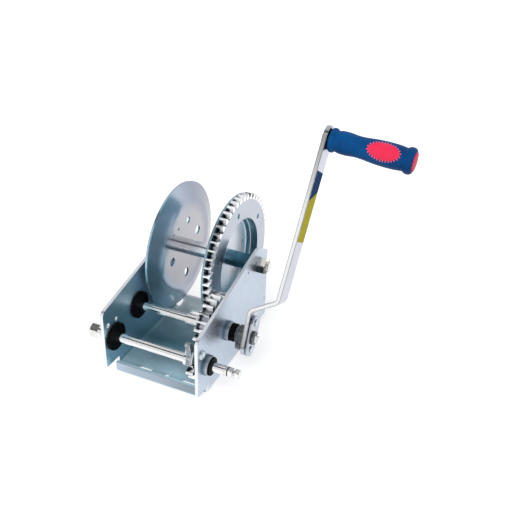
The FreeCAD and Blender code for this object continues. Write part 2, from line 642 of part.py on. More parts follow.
def make_pawl_spring():
    """Hairpin spring: one leg over the anchor, a bend round the pivot and one leg beside the pawl."""
    wrap = PIVOT_RADIUS + SPRING_WIRE_RADIUS + SIDE_PLAY

    def spot(y, z):
        return point(SPRING_PLANE, y, z)

    def on_bend(angle):
        turn = math.radians(angle)
        return spot(PIVOT_Y + wrap * math.cos(turn), PIVOT_Z + wrap * math.sin(turn))

    over = ANCHOR_RADIUS + SPRING_WIRE_RADIUS + RUNNING_GAP
    gap = math.hypot(ANCHOR_Y - PIVOT_Y, ANCHOR_Z - PIVOT_Z)
    lean = math.degrees(math.atan2(ANCHOR_Z - PIVOT_Z, ANCHOR_Y - PIVOT_Y))
    tilt = lean + math.degrees(math.asin((over - wrap) / gap))
    leave = tilt + 90.0
    along = FreeCAD.Vector(0, math.cos(math.radians(tilt)), math.sin(math.radians(tilt)))
    first = on_bend(leave) + along * (gap + ANCHOR_RADIUS)
    end_turn = math.radians(SPRING_LEG_ANGLE + 90.0)
    down = FreeCAD.Vector(0, math.cos(end_turn), math.sin(end_turn))
    last = on_bend(SPRING_LEG_ANGLE) + down * SPRING_LEG_LENGTH
    path = Part.Wire([Part.makeLine(first, on_bend(leave)),
                      Part.Arc(on_bend(leave), on_bend((leave + SPRING_LEG_ANGLE) / 2),
                               on_bend(SPRING_LEG_ANGLE)).toShape(),
                      Part.makeLine(on_bend(SPRING_LEG_ANGLE), last)])
    section = Part.Wire(Part.makeCircle(SPRING_WIRE_RADIUS, first, along))
    return path.makePipeShell([section], True, False)


def link(y1, z1, r1, y2, z2, r2, x_from, x_to):
    """Tapered link between two round ends."""
    gap = math.hypot(y2 - y1, z2 - z1)
    lean = math.atan2(z2 - z1, y2 - y1)
    spread = math.acos((r1 - r2) / gap)

    def at(y, z, r, angle):
        return point(x_from, y + r * math.cos(angle), z + r * math.sin(angle))

    edges = [Part.Arc(at(y1, z1, r1, lean + spread), at(y1, z1, r1, lean + math.pi),
                      at(y1, z1, r1, lean - spread)).toShape(),
             Part.makeLine(at(y1, z1, r1, lean - spread), at(y2, z2, r2, lean - spread)),
             Part.Arc(at(y2, z2, r2, lean - spread), at(y2, z2, r2, lean),
                      at(y2, z2, r2, lean + spread)).toShape(),
             Part.makeLine(at(y2, z2, r2, lean + spread), at(y1, z1, r1, lean + spread))]
    return Part.Face(Part.Wire(edges)).extrude(ALONG * (x_to - x_from))


def make_pawl():
    clear = pinion_tip() + PAWL_TOOTH_GAP
    turn = math.radians(PAWL_NOSE_ANGLE)
    nose_y = FRONT_AXIS_Y + (clear + PAWL_NOSE_RADIUS / 2) * math.cos(turn)
    nose_z = FRONT_AXIS_Z + (clear + PAWL_NOSE_RADIUS / 2) * math.sin(turn)
    tail_y = PIVOT_Y + PAWL_TAIL_LENGTH * math.cos(math.radians(PAWL_TAIL_ANGLE))
    tail_z = PIVOT_Z + PAWL_TAIL_LENGTH * math.sin(math.radians(PAWL_TAIL_ANGLE))
    hub = (PIVOT_Y, PIVOT_Z, PAWL_HUB_RADIUS)
    pawl = link(*hub, nose_y, nose_z, PAWL_NOSE_RADIUS, PAWL_LEFT, PAWL_RIGHT)
    pawl = pawl.fuse(link(*hub, tail_y, tail_z, PAWL_TAIL_RADIUS, PAWL_LEFT, PAWL_RIGHT))
    pawl = pawl.cut(rod(PAWL_LEFT, PAWL_RIGHT, clear, FRONT_AXIS_Y, FRONT_AXIS_Z))
    return pawl.cut(rod(PAWL_LEFT, PAWL_RIGHT, PIVOT_RADIUS + RUNNING_GAP, PIVOT_Y, PIVOT_Z)).removeSplitter()


def crank_placement():
    """The crank is drawn upright about its shaft and then leaned to the rear."""
    return FreeCAD.Placement(point(0, MIDDLE_AXIS_Y, MIDDLE_AXIS_Z), FreeCAD.Rotation(ALONG, -CRANK_LEAN))


def grip_placement():
    """Frame of the grip: X along the spindle from the outer face of the arm."""
    splay = math.radians(ARM_SPLAY)
    rise = CRANK_RADIUS - ARM_SECOND_BEND
    x = ARM_INNER + ARM_OFFSET + ARM_THICKNESS / 2 + rise * math.tan(splay)
    face = ARM_THICKNESS / 2
    start = point(x + face * math.cos(splay), 0, CRANK_RADIUS - face * math.sin(splay))
    local = FreeCAD.Placement(start, FreeCAD.Rotation(point(0, 1, 0), ARM_SPLAY))
    return crank_placement().multiply(local)


def on_crank(shape):
    placed = shape.copy()
    placed.Placement = crank_placement().multiply(placed.Placement)
    return placed


def on_grip(shape):
    placed = shape.copy()
    placed.Placement = grip_placement().multiply(placed.Placement)
    return placed


def arm_band():
    """Side outline of the bent bar as (x, height, corner radius)."""
    splay = math.radians(ARM_SPLAY)
    half = ARM_THICKNESS / 2
    bottom = -ARM_HUB_DROP - ARM_WIDTH
    top = CRANK_RADIUS + ARM_WIDTH
    lower = ARM_INNER + half
    upper = lower + ARM_OFFSET
    line = [(lower, bottom), (lower, ARM_FIRST_BEND), (upper, ARM_SECOND_BEND),
            (upper + (top - ARM_SECOND_BEND) * math.tan(splay), top)]
    turns = [math.pi / 2]
    for i in range(3):
        turns.append(math.atan2(line[i + 1][1] - line[i][1], line[i + 1][0] - line[i][0]))
    turns[0] = turns[1]
    turns.append(turns[3])

    def side(sign):
        corners = []
        for i in range(4):
            middle = (turns[i] + turns[i + 1]) / 2
            reach = half / math.cos((turns[i + 1] - turns[i]) / 2)
            bend = turns[i + 1] - turns[i]
            radius = 0.0
            if abs(bend) > 1e-9:
                radius = ARM_BEND_RADIUS + (ARM_THICKNESS if bend * sign < 0 else 0.0)
            corners.append((line[i][0] - sign * reach * math.sin(middle),
                            line[i][1] + sign * reach * math.cos(middle), radius))
        return corners

    return side(1) + side(-1)[::-1]


def arm_outline(bottom, top, width, x_from, x_to):
    """Upright strip with round ends, centred on the crank's middle plane."""
    half = width / 2

    def at(y, z):
        return point(x_from, y, z)

    edges = [Part.makeLine(at(half, bottom), at(half, top)),
             Part.Arc(at(half, top), at(0, top + half), at(-half, top)).toShape(),
             Part.makeLine(at(-half, top), at(-half, bottom)),
             Part.Arc(at(-half, bottom), at(0, bottom - half), at(half, bottom)).toShape()]
    return Part.Face(Part.Wire(edges)).extrude(ALONG * (x_to - x_from))


def make_crank_arm():
    half = ARM_WIDTH / 2
    wire = rounded_wire(arm_band(), lambda x, z: point(x, -half, z))
    bar = Part.Face(wire).extrude(point(0, ARM_WIDTH, 0))
    reach = ARM_OUTER + ARM_OFFSET + CRANK_RADIUS
    bar = bar.common(arm_outline(-ARM_HUB_DROP, CRANK_RADIUS + ARM_TOP_RISE, ARM_WIDTH, ARM_INNER, reach))
    bar = bar.cut(flatted_rod(ARM_INNER, ARM_OUTER, SHAFT_RADIUS + SEAT_GAP, FLATS_ACROSS + 2 * SEAT_GAP))
    for height in CLIP_RIVET_PLACES:
        bar = bar.cut(rod(ARM_INNER, ARM_OUTER, CLIP_RIVET_RADIUS + SEAT_GAP, 0, height))
    arm = on_crank(bar)
    hole = on_grip(rod(-2 * ARM_THICKNESS, ARM_THICKNESS, SPINDLE_RADIUS + SEAT_GAP))
    return arm.cut(hole)


def make_crank_boss():
    """Round neck against the bush and a long block behind the arm."""
    start = BUSH_END + SIDE_PLAY
    step = ARM_INNER - BOSS_BLOCK_LENGTH
    neck = turned([(start, 0, 0), (start, BOSS_RADIUS, BOSS_EDGE), (step, BOSS_RADIUS, 0), (step, 0, 0)])
    block = arm_outline(-BOSS_BLOCK_DROP, BOSS_BLOCK_RISE, BOSS_BLOCK_WIDTH, step, ARM_INNER)
    boss = neck.fuse(block).cut(rod(start, ARM_INNER, SHAFT_RADIUS + SEAT_GAP))
    return on_crank(boss)


def make_crank_clip():
    plate = arm_outline(-ARM_HUB_DROP, CLIP_TOP - ARM_WIDTH / 2, ARM_WIDTH, CLIP_INNER, CLIP_OUTER)
    plate = plate.cut(rod(CLIP_INNER, CLIP_OUTER, SHAFT_RADIUS + SIDE_PLAY))
    for height in CLIP_RIVET_PLACES:
        plate = plate.cut(rod(CLIP_INNER, CLIP_OUTER, CLIP_RIVET_RADIUS + SEAT_GAP, 0, height))
    return on_crank(plate)


def make_clip_rivets():
    rivets = []
    for height in CLIP_RIVET_PLACES:
        rivet = rod(ARM_INNER, CLIP_OUTER, CLIP_RIVET_RADIUS, 0, height)
        rivet = rivet.fuse(rod(ARM_OUTER, CLIP_INNER, CLIP_SPACER_RADIUS, 0, height))
        rivet = rivet.fuse(rod(CLIP_OUTER, CLIP_OUTER + CLIP_HEAD_HEIGHT, CLIP_SPACER_RADIUS, 0, height))
        rivets.append(on_crank(rivet))
    return Part.makeCompound(rivets)


def make_crank_ring():
    bore = FLATS_ACROSS / 2 - GROOVE_DEPTH + SEAT_GAP
    return ring(CRANK_RING_INNER + SEAT_GAP, CRANK_RING_INNER + GROOVE_WIDTH - SEAT_GAP, CRANK_RING_RADIUS,
                bore, MIDDLE_AXIS_Y, MIDDLE_AXIS_Z)


def spindle_head_inner():
    return GRIP_END - GRIP_POCKET_DEPTH + SIDE_PLAY


def make_grip_spindle():
    inner = -ARM_THICKNESS
    head = spindle_head_inner()
    corners = [(inner - SPINDLE_RIVET_HEIGHT, 0, 0),
               (inner - SPINDLE_RIVET_HEIGHT, SPINDLE_RIVET_RADIUS, SPINDLE_RIVET_EDGE),
               (inner, SPINDLE_RIVET_RADIUS, 0), (inner, SPINDLE_RADIUS, 0), (head, SPINDLE_RADIUS, 0),
               (head, SPINDLE_HEAD_RADIUS, 0),
               (head + SPINDLE_HEAD_HEIGHT, SPINDLE_HEAD_RADIUS, SPINDLE_HEAD_EDGE),
               (head + SPINDLE_HEAD_HEIGHT, 0, 0)]
    return on_grip(turned(corners))


def make_grip_washer():
    return on_grip(ring(0, GRIP_WASHER_THICKNESS, GRIP_WASHER_RADIUS, SPINDLE_RADIUS + SEAT_GAP))


def grip_form(offset):
    """Outer form of the grip, grown or shrunk in radius by offset."""
    first = GRIP_START + GRIP_INNER_COLLAR_LENGTH
    last = GRIP_END - GRIP_OUTER_COLLAR_LENGTH

    def at(x, radius):
        return point(x, 0, radius + offset)

    def collar(x_from, x_to, radius, next_radius, inward):
        edge = GRIP_COLLAR_EDGE
        slant = edge * (1 - math.sqrt(0.5))
        if inward:
            return [Part.makeLine(at(x_from, next_radius), at(x_from, radius - edge)),
                    Part.Arc(at(x_from, radius - edge), at(x_from + slant, radius - slant),
                             at(x_from + edge, radius)).toShape(),
                    Part.makeLine(at(x_from + edge, radius), at(x_to, radius))]
        return [Part.makeLine(at(x_from, radius), at(x_to - edge, radius)),
                Part.Arc(at(x_to - edge, radius), at(x_to - slant, radius - slant),
                         at(x_to, radius - edge)).toShape(),
                Part.makeLine(at(x_to, radius - edge), at(x_to, next_radius))]

    core = SPINDLE_RADIUS
    inner_edge = first + GRIP_INNER_STEP
    outer_edge = last - GRIP_OUTER_STEP
    curve = Part.BSplineCurve()
    curve.interpolate([at(inner_edge, GRIP_NECK), at(GRIP_START + GRIP_WAIST_PLACE, GRIP_WAIST),
                       at(GRIP_START + GRIP_SWELL_PLACE, GRIP_SWELL), at(outer_edge, GRIP_THROAT)])
    edges = collar(GRIP_START, first, GRIP_INNER_COLLAR, core, True)
    edges.append(Part.makeLine(at(first, GRIP_INNER_COLLAR), at(inner_edge, GRIP_NECK)))
    edges.append(curve.toShape())
    edges.append(Part.makeLine(at(outer_edge, GRIP_THROAT), at(last, GRIP_OUTER_COLLAR)))
    edges += collar(last, GRIP_END, GRIP_OUTER_COLLAR, core, False)
    axis_start = point(GRIP_START, 0, 0)
    axis_end = point(GRIP_END, 0, 0)
    edges.append(Part.makeLine(at(GRIP_END, core), axis_end))
    edges.append(Part.makeLine(axis_end, axis_start))
    edges.append(Part.makeLine(axis_start, at(GRIP_START, core)))
    return Part.Face(Part.Wire(edges)).revolve(point(0, 0, 0), ALONG, 360)


def insert_prism(facing, gap):
    """Oval column through one side of the grip; facing is measured from +Y towards +Z in the grip's frame."""
    half_length = INSERT_HALF_LENGTH + gap
    half_width = INSERT_HALF_WIDTH + gap
    oval = Part.Ellipse(point(GRIP_START + INSERT_PLACE, 0, 0), half_length, half_width).toShape()
    column = Part.Face(Part.Wire(oval)).extrude(point(0, 0, 2 * GRIP_OUTER_COLLAR))
    column.rotate(point(0, 0, 0), ALONG, facing - 90.0)
    return column


def insert_facings():
    return (INSERT_FACING, INSERT_FACING + 180.0)


def make_grip():
    bore = SPINDLE_RADIUS + 2 * RUNNING_GAP
    grip = grip_form(0.0)
    grip = grip.cut(rod(GRIP_START, GRIP_END, bore))
    grip = grip.cut(rod(GRIP_END - GRIP_POCKET_DEPTH, GRIP_END, GRIP_POCKET_RADIUS))
    bed = grip_form(-INSERT_DEPTH)
    for facing in insert_facings():
        grip = grip.cut(insert_prism(facing, SEAT_GAP).cut(bed))
    return on_grip(grip)


def make_grip_insert(facing):
    pad = insert_prism(facing, 0.0).common(grip_form(INSERT_PROUD))
    return on_grip(pad.cut(grip_form(SEAT_GAP - INSERT_DEPTH)))


def make_grip_cap():
    plug = GRIP_POCKET_RADIUS - SEAT_GAP
    corners = [(GRIP_END - CAP_PLUG_LENGTH, 0, 0), (GRIP_END - CAP_PLUG_LENGTH, plug, 0), (GRIP_END, plug, 0),
               (GRIP_END, CAP_RADIUS, 0), (GRIP_END + CAP_HEIGHT, CAP_RADIUS, CAP_EDGE),
               (GRIP_END + CAP_HEIGHT, 0, 0)]
    return on_grip(turned(corners))


def build():
    front = (FRONT_AXIS_Y, FRONT_AXIS_Z)
    middle = (MIDDLE_AXIS_Y, MIDDLE_AXIS_Z)
    facing_front, facing_back = insert_facings()
    return {
        "frame": make_frame(),
        "bush_front_left": make_left_bush(*front),
        "bush_front_right": make_bush(BUSH_FRONT_END, *front),
        "bush_middle_left": make_left_bush(*middle),
        "bush_middle_right": make_bush(BUSH_END, *middle),
        "bush_washers": make_bush_washers(),
        "drum_bolt": make_drum_bolt(),
        "drum_nut": make_drum_nut(),
        "drum_tube": make_drum_tube(),
        "drum_flange_left": make_drum_flange_left(),
        "drum_flange_right": make_drum_flange_right(),
        "ring_gear": make_ring_gear(),
        "gear_rivets": make_gear_rivets(),
        "front_shaft": make_front_shaft(),
        "front_pinion": make_front_pinion(),
        "front_collar": make_front_collar(),
        "front_spacer": make_front_spacer(),
        "front_nut": make_front_nut(),
        "middle_shaft": make_middle_shaft(),
        "middle_pinion": make_middle_pinion(),
        "middle_gear": make_middle_gear(),
        "middle_sleeve": make_middle_sleeve(),
        "middle_ring": make_middle_ring(),
        "pawl": make_pawl(),
        "pawl_pin": make_pawl_pin(),
        "pawl_spring": make_pawl_spring(),
        "spring_anchor": make_spring_anchor(),
        "crank_arm": make_crank_arm(),
        "crank_boss": make_crank_boss(),
        "crank_clip": make_crank_clip(),
        "clip_rivets": make_clip_rivets(),
        "crank_ring": make_crank_ring(),
        "grip_spindle": make_grip_spindle(),
        "grip_washer": make_grip_washer(),
        "grip": make_grip(),
        "grip_insert_front": make_grip_insert(facing_front),
        "grip_insert_back": make_grip_insert(facing_back),
        "grip_cap": make_grip_cap(),
    }


def main():
    os.makedirs("parts", exist_ok=True)
    to_base_middle = point(0, -PLATE_LENGTH / 2, 0)
    for name, shape in build().items():
        shape.translated(to_base_middle).exportStep("parts/" + name + ".step")


main()
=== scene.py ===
import math

import bmesh
import bpy
from mathutils import Matrix, Vector
from mathutils.bvhtree import BVHTree

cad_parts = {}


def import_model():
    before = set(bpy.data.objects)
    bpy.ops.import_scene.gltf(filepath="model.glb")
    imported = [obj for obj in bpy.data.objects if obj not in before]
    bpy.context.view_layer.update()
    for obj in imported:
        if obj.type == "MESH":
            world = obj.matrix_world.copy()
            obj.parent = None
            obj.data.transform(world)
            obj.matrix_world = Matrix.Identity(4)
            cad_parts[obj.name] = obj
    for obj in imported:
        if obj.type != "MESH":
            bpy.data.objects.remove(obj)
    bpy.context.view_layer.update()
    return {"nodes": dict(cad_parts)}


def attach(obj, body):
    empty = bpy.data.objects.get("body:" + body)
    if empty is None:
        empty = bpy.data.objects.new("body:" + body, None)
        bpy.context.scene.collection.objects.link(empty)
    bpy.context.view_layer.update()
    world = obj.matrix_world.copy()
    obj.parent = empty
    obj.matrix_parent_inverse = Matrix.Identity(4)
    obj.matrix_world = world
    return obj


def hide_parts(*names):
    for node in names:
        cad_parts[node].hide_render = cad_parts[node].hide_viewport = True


MM = 0.001

# Camera of the photograph, in millimetres, degrees and pixels
CAMERA_TARGET = (92.34, -3.0, 152.31)
CAMERA_AZIMUTH = 22.66
CAMERA_ELEVATION = 30.48
CAMERA_ROLL = 2.25
CAMERA_DISTANCE = 773.15
FOCAL_PIXELS = 702.64
IMAGE_PIXELS = 520
SENSOR_WIDTH = 36.0

# Studio sky: brightness by angle from the front horizon over the top to the rear horizon, in degrees
SKY = ((0.0, 0.98), (54.0, 1.0), (58.0, 0.03), (79.0, 0.03), (84.0, 0.85), (100.0, 0.8), (130.0, 0.9),
       (180.0, 0.8))
SKY_TINT = (0.98, 0.99, 1.0)
SKY_STRENGTH = 0.9

# Sun for the matt pieces, and the floor, in degrees and metres
SUN_STRENGTH = 2.4
SUN_SPREAD = 40.0
SUN_AZIMUTH = 5.0
SUN_ELEVATION = 48.0
FLOOR_GLOW = 0.8
FLOOR_HALF_WIDTH = 40.0
FLOOR_DROP = 0.0005

# Places of the CAD model that pieces and finishes follow, in millimetres and degrees
DRUM_AXIS = (66.73, 101.081)
MIDDLE_AXIS = (-20.083, 58.175)
FRONT_AXIS = (-72.5, 45.3)
PLATE_INNER = 58.0
PLATE_OUTER = 62.0
LIP_FACE = 82.2
BASE_TOP = 4.0
LIP_HEIGHT = 15.5
FLANGE_FLAT_RADIUS = 60.0
FLANGE_RADIUS = 82.8
CRANK_LEAN = 23.4
CRANK_RADIUS = 236.4
ARM_SPLAY = 4.4
ARM_SECOND_BEND = 49.5
ARM_OUTER_AT_BEND = 121.6
ARM_WIDTH = 25.0
ARM_THICKNESS = 5.0
ARM_FOOT = 20.0
GRIP_START = 1.4
SPINDLE_RADIUS = 5.0
RIGHT_FLANGE_FACE = 18.0
INSERT_PLACE = 61.5
INSERT_HALF_LENGTH = 17.2
INSERT_HALF_WIDTH = 8.8
INSERT_FACING = 171.0

# Finishes that several pieces share: colours (painted shade in bores, on dish walls and on the tube inside
# the ring gear;
# pale cut faces and rims and near-white gear teeth as painted highlights; thin dark rings), rounding,
# strength of the tone on edges, depth of the rolled grain, and how far a flank may face along its shaft
BORE_SHADE_TEAL = (0.2, 0.4, 0.5)
PALE_EDGE_HIGHLIGHT = (0.9, 0.92, 0.95)
TOOTH_HIGHLIGHT = (0.96, 0.97, 0.99)
DARK_RING_COLOUR = (0.06, 0.065, 0.06)
EDGE_ROUNDING = 0.5
EDGE_SHARE = 0.7
GRAIN_DEPTH = 0.012
FLANK_LIMIT = 0.6

# Frame's finish: margins that tell its faces apart and stretches over which tones change, in millimetres
CHANNEL_MARGIN = 0.2
CUT_MARGIN = 0.25
LIP_MARGIN = 0.4
SIDE_MARGIN = 0.5
# CHANNEL_FADE: where the channel's painted shade deepens, from front to rear.
CHANNEL_FADE = (-40.0, 50.0)
MATT_FADE = (-62.0, 75.0)
MATT_SHARES = (0.75, 0.5)
STAIN_SHADE = 0.66
# LIP_SHADES: painted shade on the lip, at its left and right ends.
LIP_SHADES = (1.1, 0.58)

# Change from a flange's flat to its cone, in millimetres either side of the corner
CONE_FADE_WITHIN = 16.0
CONE_FADE_BEYOND = 2.0

# Painted shade in the gears' tooth gaps, in millimetres: raggedness of its edge, spread along the shaft and
# softness
GAP_SHADE_RAGGED = 0.4
GAP_SHADE_SPREAD = 2.0
GAP_SHADE_SOFT = 0.8
ROOT_BELOW = 1.0
ROOT_ABOVE = 0.3

# Painted shade on the collars, tube and nut: distances out from the plate, along the shaft and up from it
WASHER_SEAT = 1.0
WASHER_RIM = 5.8
TUBE_FADE = 2.0
NUT_SHADE_FADE = (3.0, 5.5)

# Moulded outside of the grip: place along its line and radius, in millimetres
GRIP_PROFILE = (
    (1.4, 10.8), (1.9, 12.2), (3.2, 13.2), (4.8, 13.5), (6.4, 13.2), (7.7, 12.2), (8.9, 11.5),
    (10.6, 11.8), (13.5, 12.4), (18.0, 12.6), (23.0, 12.5), (28.0, 11.9), (33.4, 11.6), (40.0, 11.9),
    (48.0, 12.7), (55.0, 13.3), (62.4, 13.6), (70.0, 13.6), (78.0, 13.3), (83.0, 12.7), (84.8, 12.7),
    (86.6, 13.7), (88.6, 14.5), (91.0, 14.5), (93.2, 13.8), (94.5, 12.6), (94.9, 11.4))
GRIP_SEGMENTS = 72
GRIP_STEPS = 5

# Ribs round the grip's ovals, in millimetres
RIB_COUNT = 28
RIB_LENGTH = 2.0
RIB_WIDTH = 1.5
RIB_HEIGHT = 0.6
RIB_OVERLAP = 0.3
RIB_SINK = 0.2
RIB_SEGMENTS = 12
RIB_DROP_HEIGHT = 30.0
OVAL_STEPS = 720

# Films on the crank arm, in millimetres
FILM_INSET = 1.0
FILM_LIFT = 0.12
FILM_THICKNESS = 0.1
FILM_ROWS = 12
FILM_COLUMNS = 4


class Paint:
    """Node graph of one procedural material, in row coordinates so that every grain has a real size."""

    def __init__(self, name):
        self.material = bpy.data.materials.new(name)
        self.material.use_nodes = True
        self.tree = self.material.node_tree
        self.shader = self.tree.nodes["Principled BSDF"]
        self.place = self.node("ShaderNodeTexCoord").outputs["Object"]

    def node(self, kind, **values):
        made = self.tree.nodes.new(kind)
        for key, value in values.items():
            setattr(made, key, value)
        return made

    def feed(self, socket, source):
        if isinstance(source, bpy.types.NodeSocket):
            self.tree.links.new(source, socket)
        else:
            socket.default_value = source

    def split(self, vector):
        made = self.node("ShaderNodeSeparateXYZ")
        self.feed(made.inputs["Vector"], vector)
        return made.outputs["X"], made.outputs["Y"], made.outputs["Z"]

    def stretched(self, scale):
        made = self.node("ShaderNodeMapping")
        self.feed(made.inputs["Vector"], self.place)
        made.inputs["Scale"].default_value = scale
        return made.outputs["Vector"]

    def noise(self, scale, detail=3.0, rough=0.55, vector=None):
        made = self.node("ShaderNodeTexNoise")
        self.feed(made.inputs["Vector"], vector or self.place)
        made.inputs["Scale"].default_value = scale
        made.inputs["Detail"].default_value = detail
        made.inputs["Roughness"].default_value = rough
        return made.outputs["Fac"]

    def blotch(self):
        """Broad faint clouds in zinc plate."""
        return self.noise(22.0, 4.0, 0.6)

    def cells(self, scale):
        made = self.node("ShaderNodeTexVoronoi")
        self.feed(made.inputs["Vector"], self.place)
        made.inputs["Scale"].default_value = scale
        return made.outputs["Distance"]

    def bands(self, scale, direction, distortion=0.0):
        made = self.node("ShaderNodeTexWave", wave_type="BANDS", bands_direction=direction)
        self.feed(made.inputs["Vector"], self.place)
        made.inputs["Scale"].default_value = scale
        made.inputs["Distortion"].default_value = distortion
        return made.outputs["Fac"]

    def ramp(self, source, stops):
        made = self.node("ShaderNodeValToRGB")
        self.feed(made.inputs["Fac"], source)
        elements = made.color_ramp.elements
        while len(elements) < len(stops):
            elements.new(0.5)
        for element, (position, colour) in zip(elements, stops):
            element.position = position
            element.color = (*colour, 1.0)
        return made.outputs["Color"]

    def between(self, source, low, high, start=0.0, end=1.0):
        made = self.node("ShaderNodeMapRange")
        self.feed(made.inputs["Value"], source)
        made.inputs["From Min"].default_value = start
        made.inputs["From Max"].default_value = end
        made.inputs["To Min"].default_value = low
        made.inputs["To Max"].default_value = high
        return made.outputs["Result"]

    def maths(self, operation, first, second=0.0):
        made = self.node("ShaderNodeMath", operation=operation)
        self.feed(made.inputs[0], first)
        self.feed(made.inputs[1], second)
        return made.outputs["Value"]

    def blend(self, factor, first, second):
        made = self.node("ShaderNodeMix", data_type="RGBA")
        self.feed(made.inputs["Factor"], factor)
        self.feed(made.inputs[6], first)
        self.feed(made.inputs[7], second)
        return made.outputs[2]

    def edge_mask(self, radius):
        """0 on open surface, rising to 1 along edges, with the rounded normal for the shader."""
        bevel = self.node("ShaderNodeBevel", samples=4)
        bevel.inputs["Radius"].default_value = radius
        geometry = self.node("ShaderNodeNewGeometry")
        turn = self.node("ShaderNodeVectorMath", operation="DOT_PRODUCT")
        self.feed(turn.inputs[0], bevel.outputs["Normal"])
        self.feed(turn.inputs[1], geometry.outputs["Normal"])
        return self.between(turn.outputs["Value"], 0.0, 1.0, 0.995, 0.85), bevel.outputs["Normal"]

    def bump(self, height, distance, normal=None):
        made = self.node("ShaderNodeBump")
        made.inputs["Distance"].default_value = distance
        self.feed(made.inputs["Height"], height)
        if normal is not None:
            self.feed(made.inputs["Normal"], normal)
        return made.outputs["Normal"]

    def set(self, **values):
        for key, value in values.items():
            self.feed(self.shader.inputs[key.replace("_", " ")], value)


def darker(colour, share):
    return tuple(value * share for value in colour)


def plate_metal(paint, colour, edge, roughness, grain_direction, metallic=1.0, rougher=None):
    """Finishes a zinc-plated surface: rolled grain, haze, and edges in a tone of their own."""
    mask, rounded = paint.edge_mask(EDGE_ROUNDING * MM)
    haze = paint.noise(160.0, 5.0, 0.65)
    grain = paint.noise(1.0, 3.0, 0.5, paint.stretched(grain_direction))
    colour = paint.blend(paint.maths("MULTIPLY", mask, EDGE_SHARE), colour, (*edge, 1.0))
    rough = paint.maths("ADD", paint.between(haze, roughness - 0.06, roughness + 0.06),
                        paint.between(grain, -0.03, 0.03))
    if rougher is not None:
        rough = paint.maths("ADD", rough, rougher)
    paint.set(Base_Color=colour, Metallic=metallic, Roughness=rough)
    paint.set(Normal=paint.bump(paint.maths("ADD", grain, haze), GRAIN_DEPTH * MM, rounded))
    return paint.material


def zinc_paint(name, light, shade, roughness, grain_direction):
    """Bright zinc plate: cool and faintly blotched."""
    paint = Paint(name)
    colour = paint.ramp(paint.blotch(), [(0.3, shade), (0.7, light)])
    return plate_metal(paint, colour, darker(light, 1.08), roughness, grain_direction)


def radius_from(paint, axis):
    """Distance of the shaded place from a shaft line, and the place along that line."""
    x, y, z = paint.split(paint.place)
    y = paint.maths("SUBTRACT", y, axis[0] * MM)
    z = paint.maths("SUBTRACT", z, axis[1] * MM)
    square = paint.maths("ADD", paint.maths("MULTIPLY", y, y), paint.maths("MULTIPLY", z, z))
    return paint.maths("SQRT", square), x


def frame_paint(name, outside, edge, lip, front, rear, base_tones, roughness):
    """Zinc plate of the frame: cut faces painted pale as a painted highlight, a channel whose inside darkens
    and turns bluer to the rear as painted shade, a front lip darkening from left to right as painted shade,
    and a base painted with shade and reflection from front to rear under random darker stains.
    """
    paint = Paint(name)
    blotch = paint.blotch()

    def tone(colour):
        return paint.ramp(blotch, [(0.3, darker(colour, 0.87)), (0.7, colour)])

    x, y, z = paint.split(paint.place)
    across = paint.maths("ABSOLUTE", x)
    along = paint.maths("ABSOLUTE", y)
    channel = paint.maths("LESS_THAN", across, (PLATE_INNER + CHANNEL_MARGIN) * MM)
    on_lip = paint.maths("MULTIPLY", paint.maths("GREATER_THAN", along, (LIP_FACE - LIP_MARGIN) * MM),
                         paint.maths("LESS_THAN", across, (PLATE_INNER - SIDE_MARGIN) * MM))
    # Painted shade: the inside of the channel darkens from its front tone to its rear tone.
    depth = paint.between(y, 0.0, 1.0, CHANNEL_FADE[0] * MM, CHANNEL_FADE[1] * MM)
    colour = paint.blend(channel, tone(outside), paint.blend(depth, tone(front), tone(rear)))
    low = paint.maths("LESS_THAN", z, (BASE_TOP + LIP_HEIGHT) * MM)
    inside = paint.maths("MULTIPLY", paint.maths("LESS_THAN", across, (PLATE_INNER - SIDE_MARGIN) * MM),
                         paint.maths("GREATER_THAN", y, (SIDE_MARGIN - LIP_FACE) * MM))
    base = paint.maths("MULTIPLY", inside, low)
    cloud = paint.noise(1.0, 4.0, 0.6, paint.stretched((16.0, 34.0, 34.0)))
    # Painted shade and reflection on the base from front to rear, under random darker stains.
    rearward = paint.between(y, 0.0, 1.0, -LIP_FACE * MM, LIP_FACE * MM)
    wear_and_painted_light = paint.ramp(rearward, base_tones)
    stained = paint.ramp(rearward, [(share, darker(shade, STAIN_SHADE)) for share, shade in base_tones])
    clear = paint.between(cloud, 0.0, 1.0, 0.35, 0.62)
    colour = paint.blend(base, colour, paint.blend(clear, stained, wear_and_painted_light))
    # Painted shade: the front lip darkens from left to right.
    lip_side = paint.between(x, 0.0, 1.0, -PLATE_INNER * MM, PLATE_INNER * MM)
    lip_left, lip_right = (tone(darker(lip, shade)) for shade in LIP_SHADES)
    colour = paint.blend(on_lip, colour, paint.blend(lip_side, lip_left, lip_right))
    # Painted highlight: the cut faces of the sheet are pale.
    cut = paint.maths("MULTIPLY", paint.maths("GREATER_THAN", across, (PLATE_INNER + CUT_MARGIN) * MM),
                      paint.maths("LESS_THAN", across, (PLATE_OUTER - CUT_MARGIN) * MM))
    colour = paint.blend(cut, colour, tone(edge))
    matt_here = paint.between(y, *MATT_SHARES, MATT_FADE[0] * MM, MATT_FADE[1] * MM)
    matt = paint.maths("MULTIPLY", base, matt_here)
    metallic = paint.maths("SUBTRACT", 1.0, matt)
    return plate_metal(paint, colour, outside, roughness, (900.0, 25.0, 900.0), metallic)


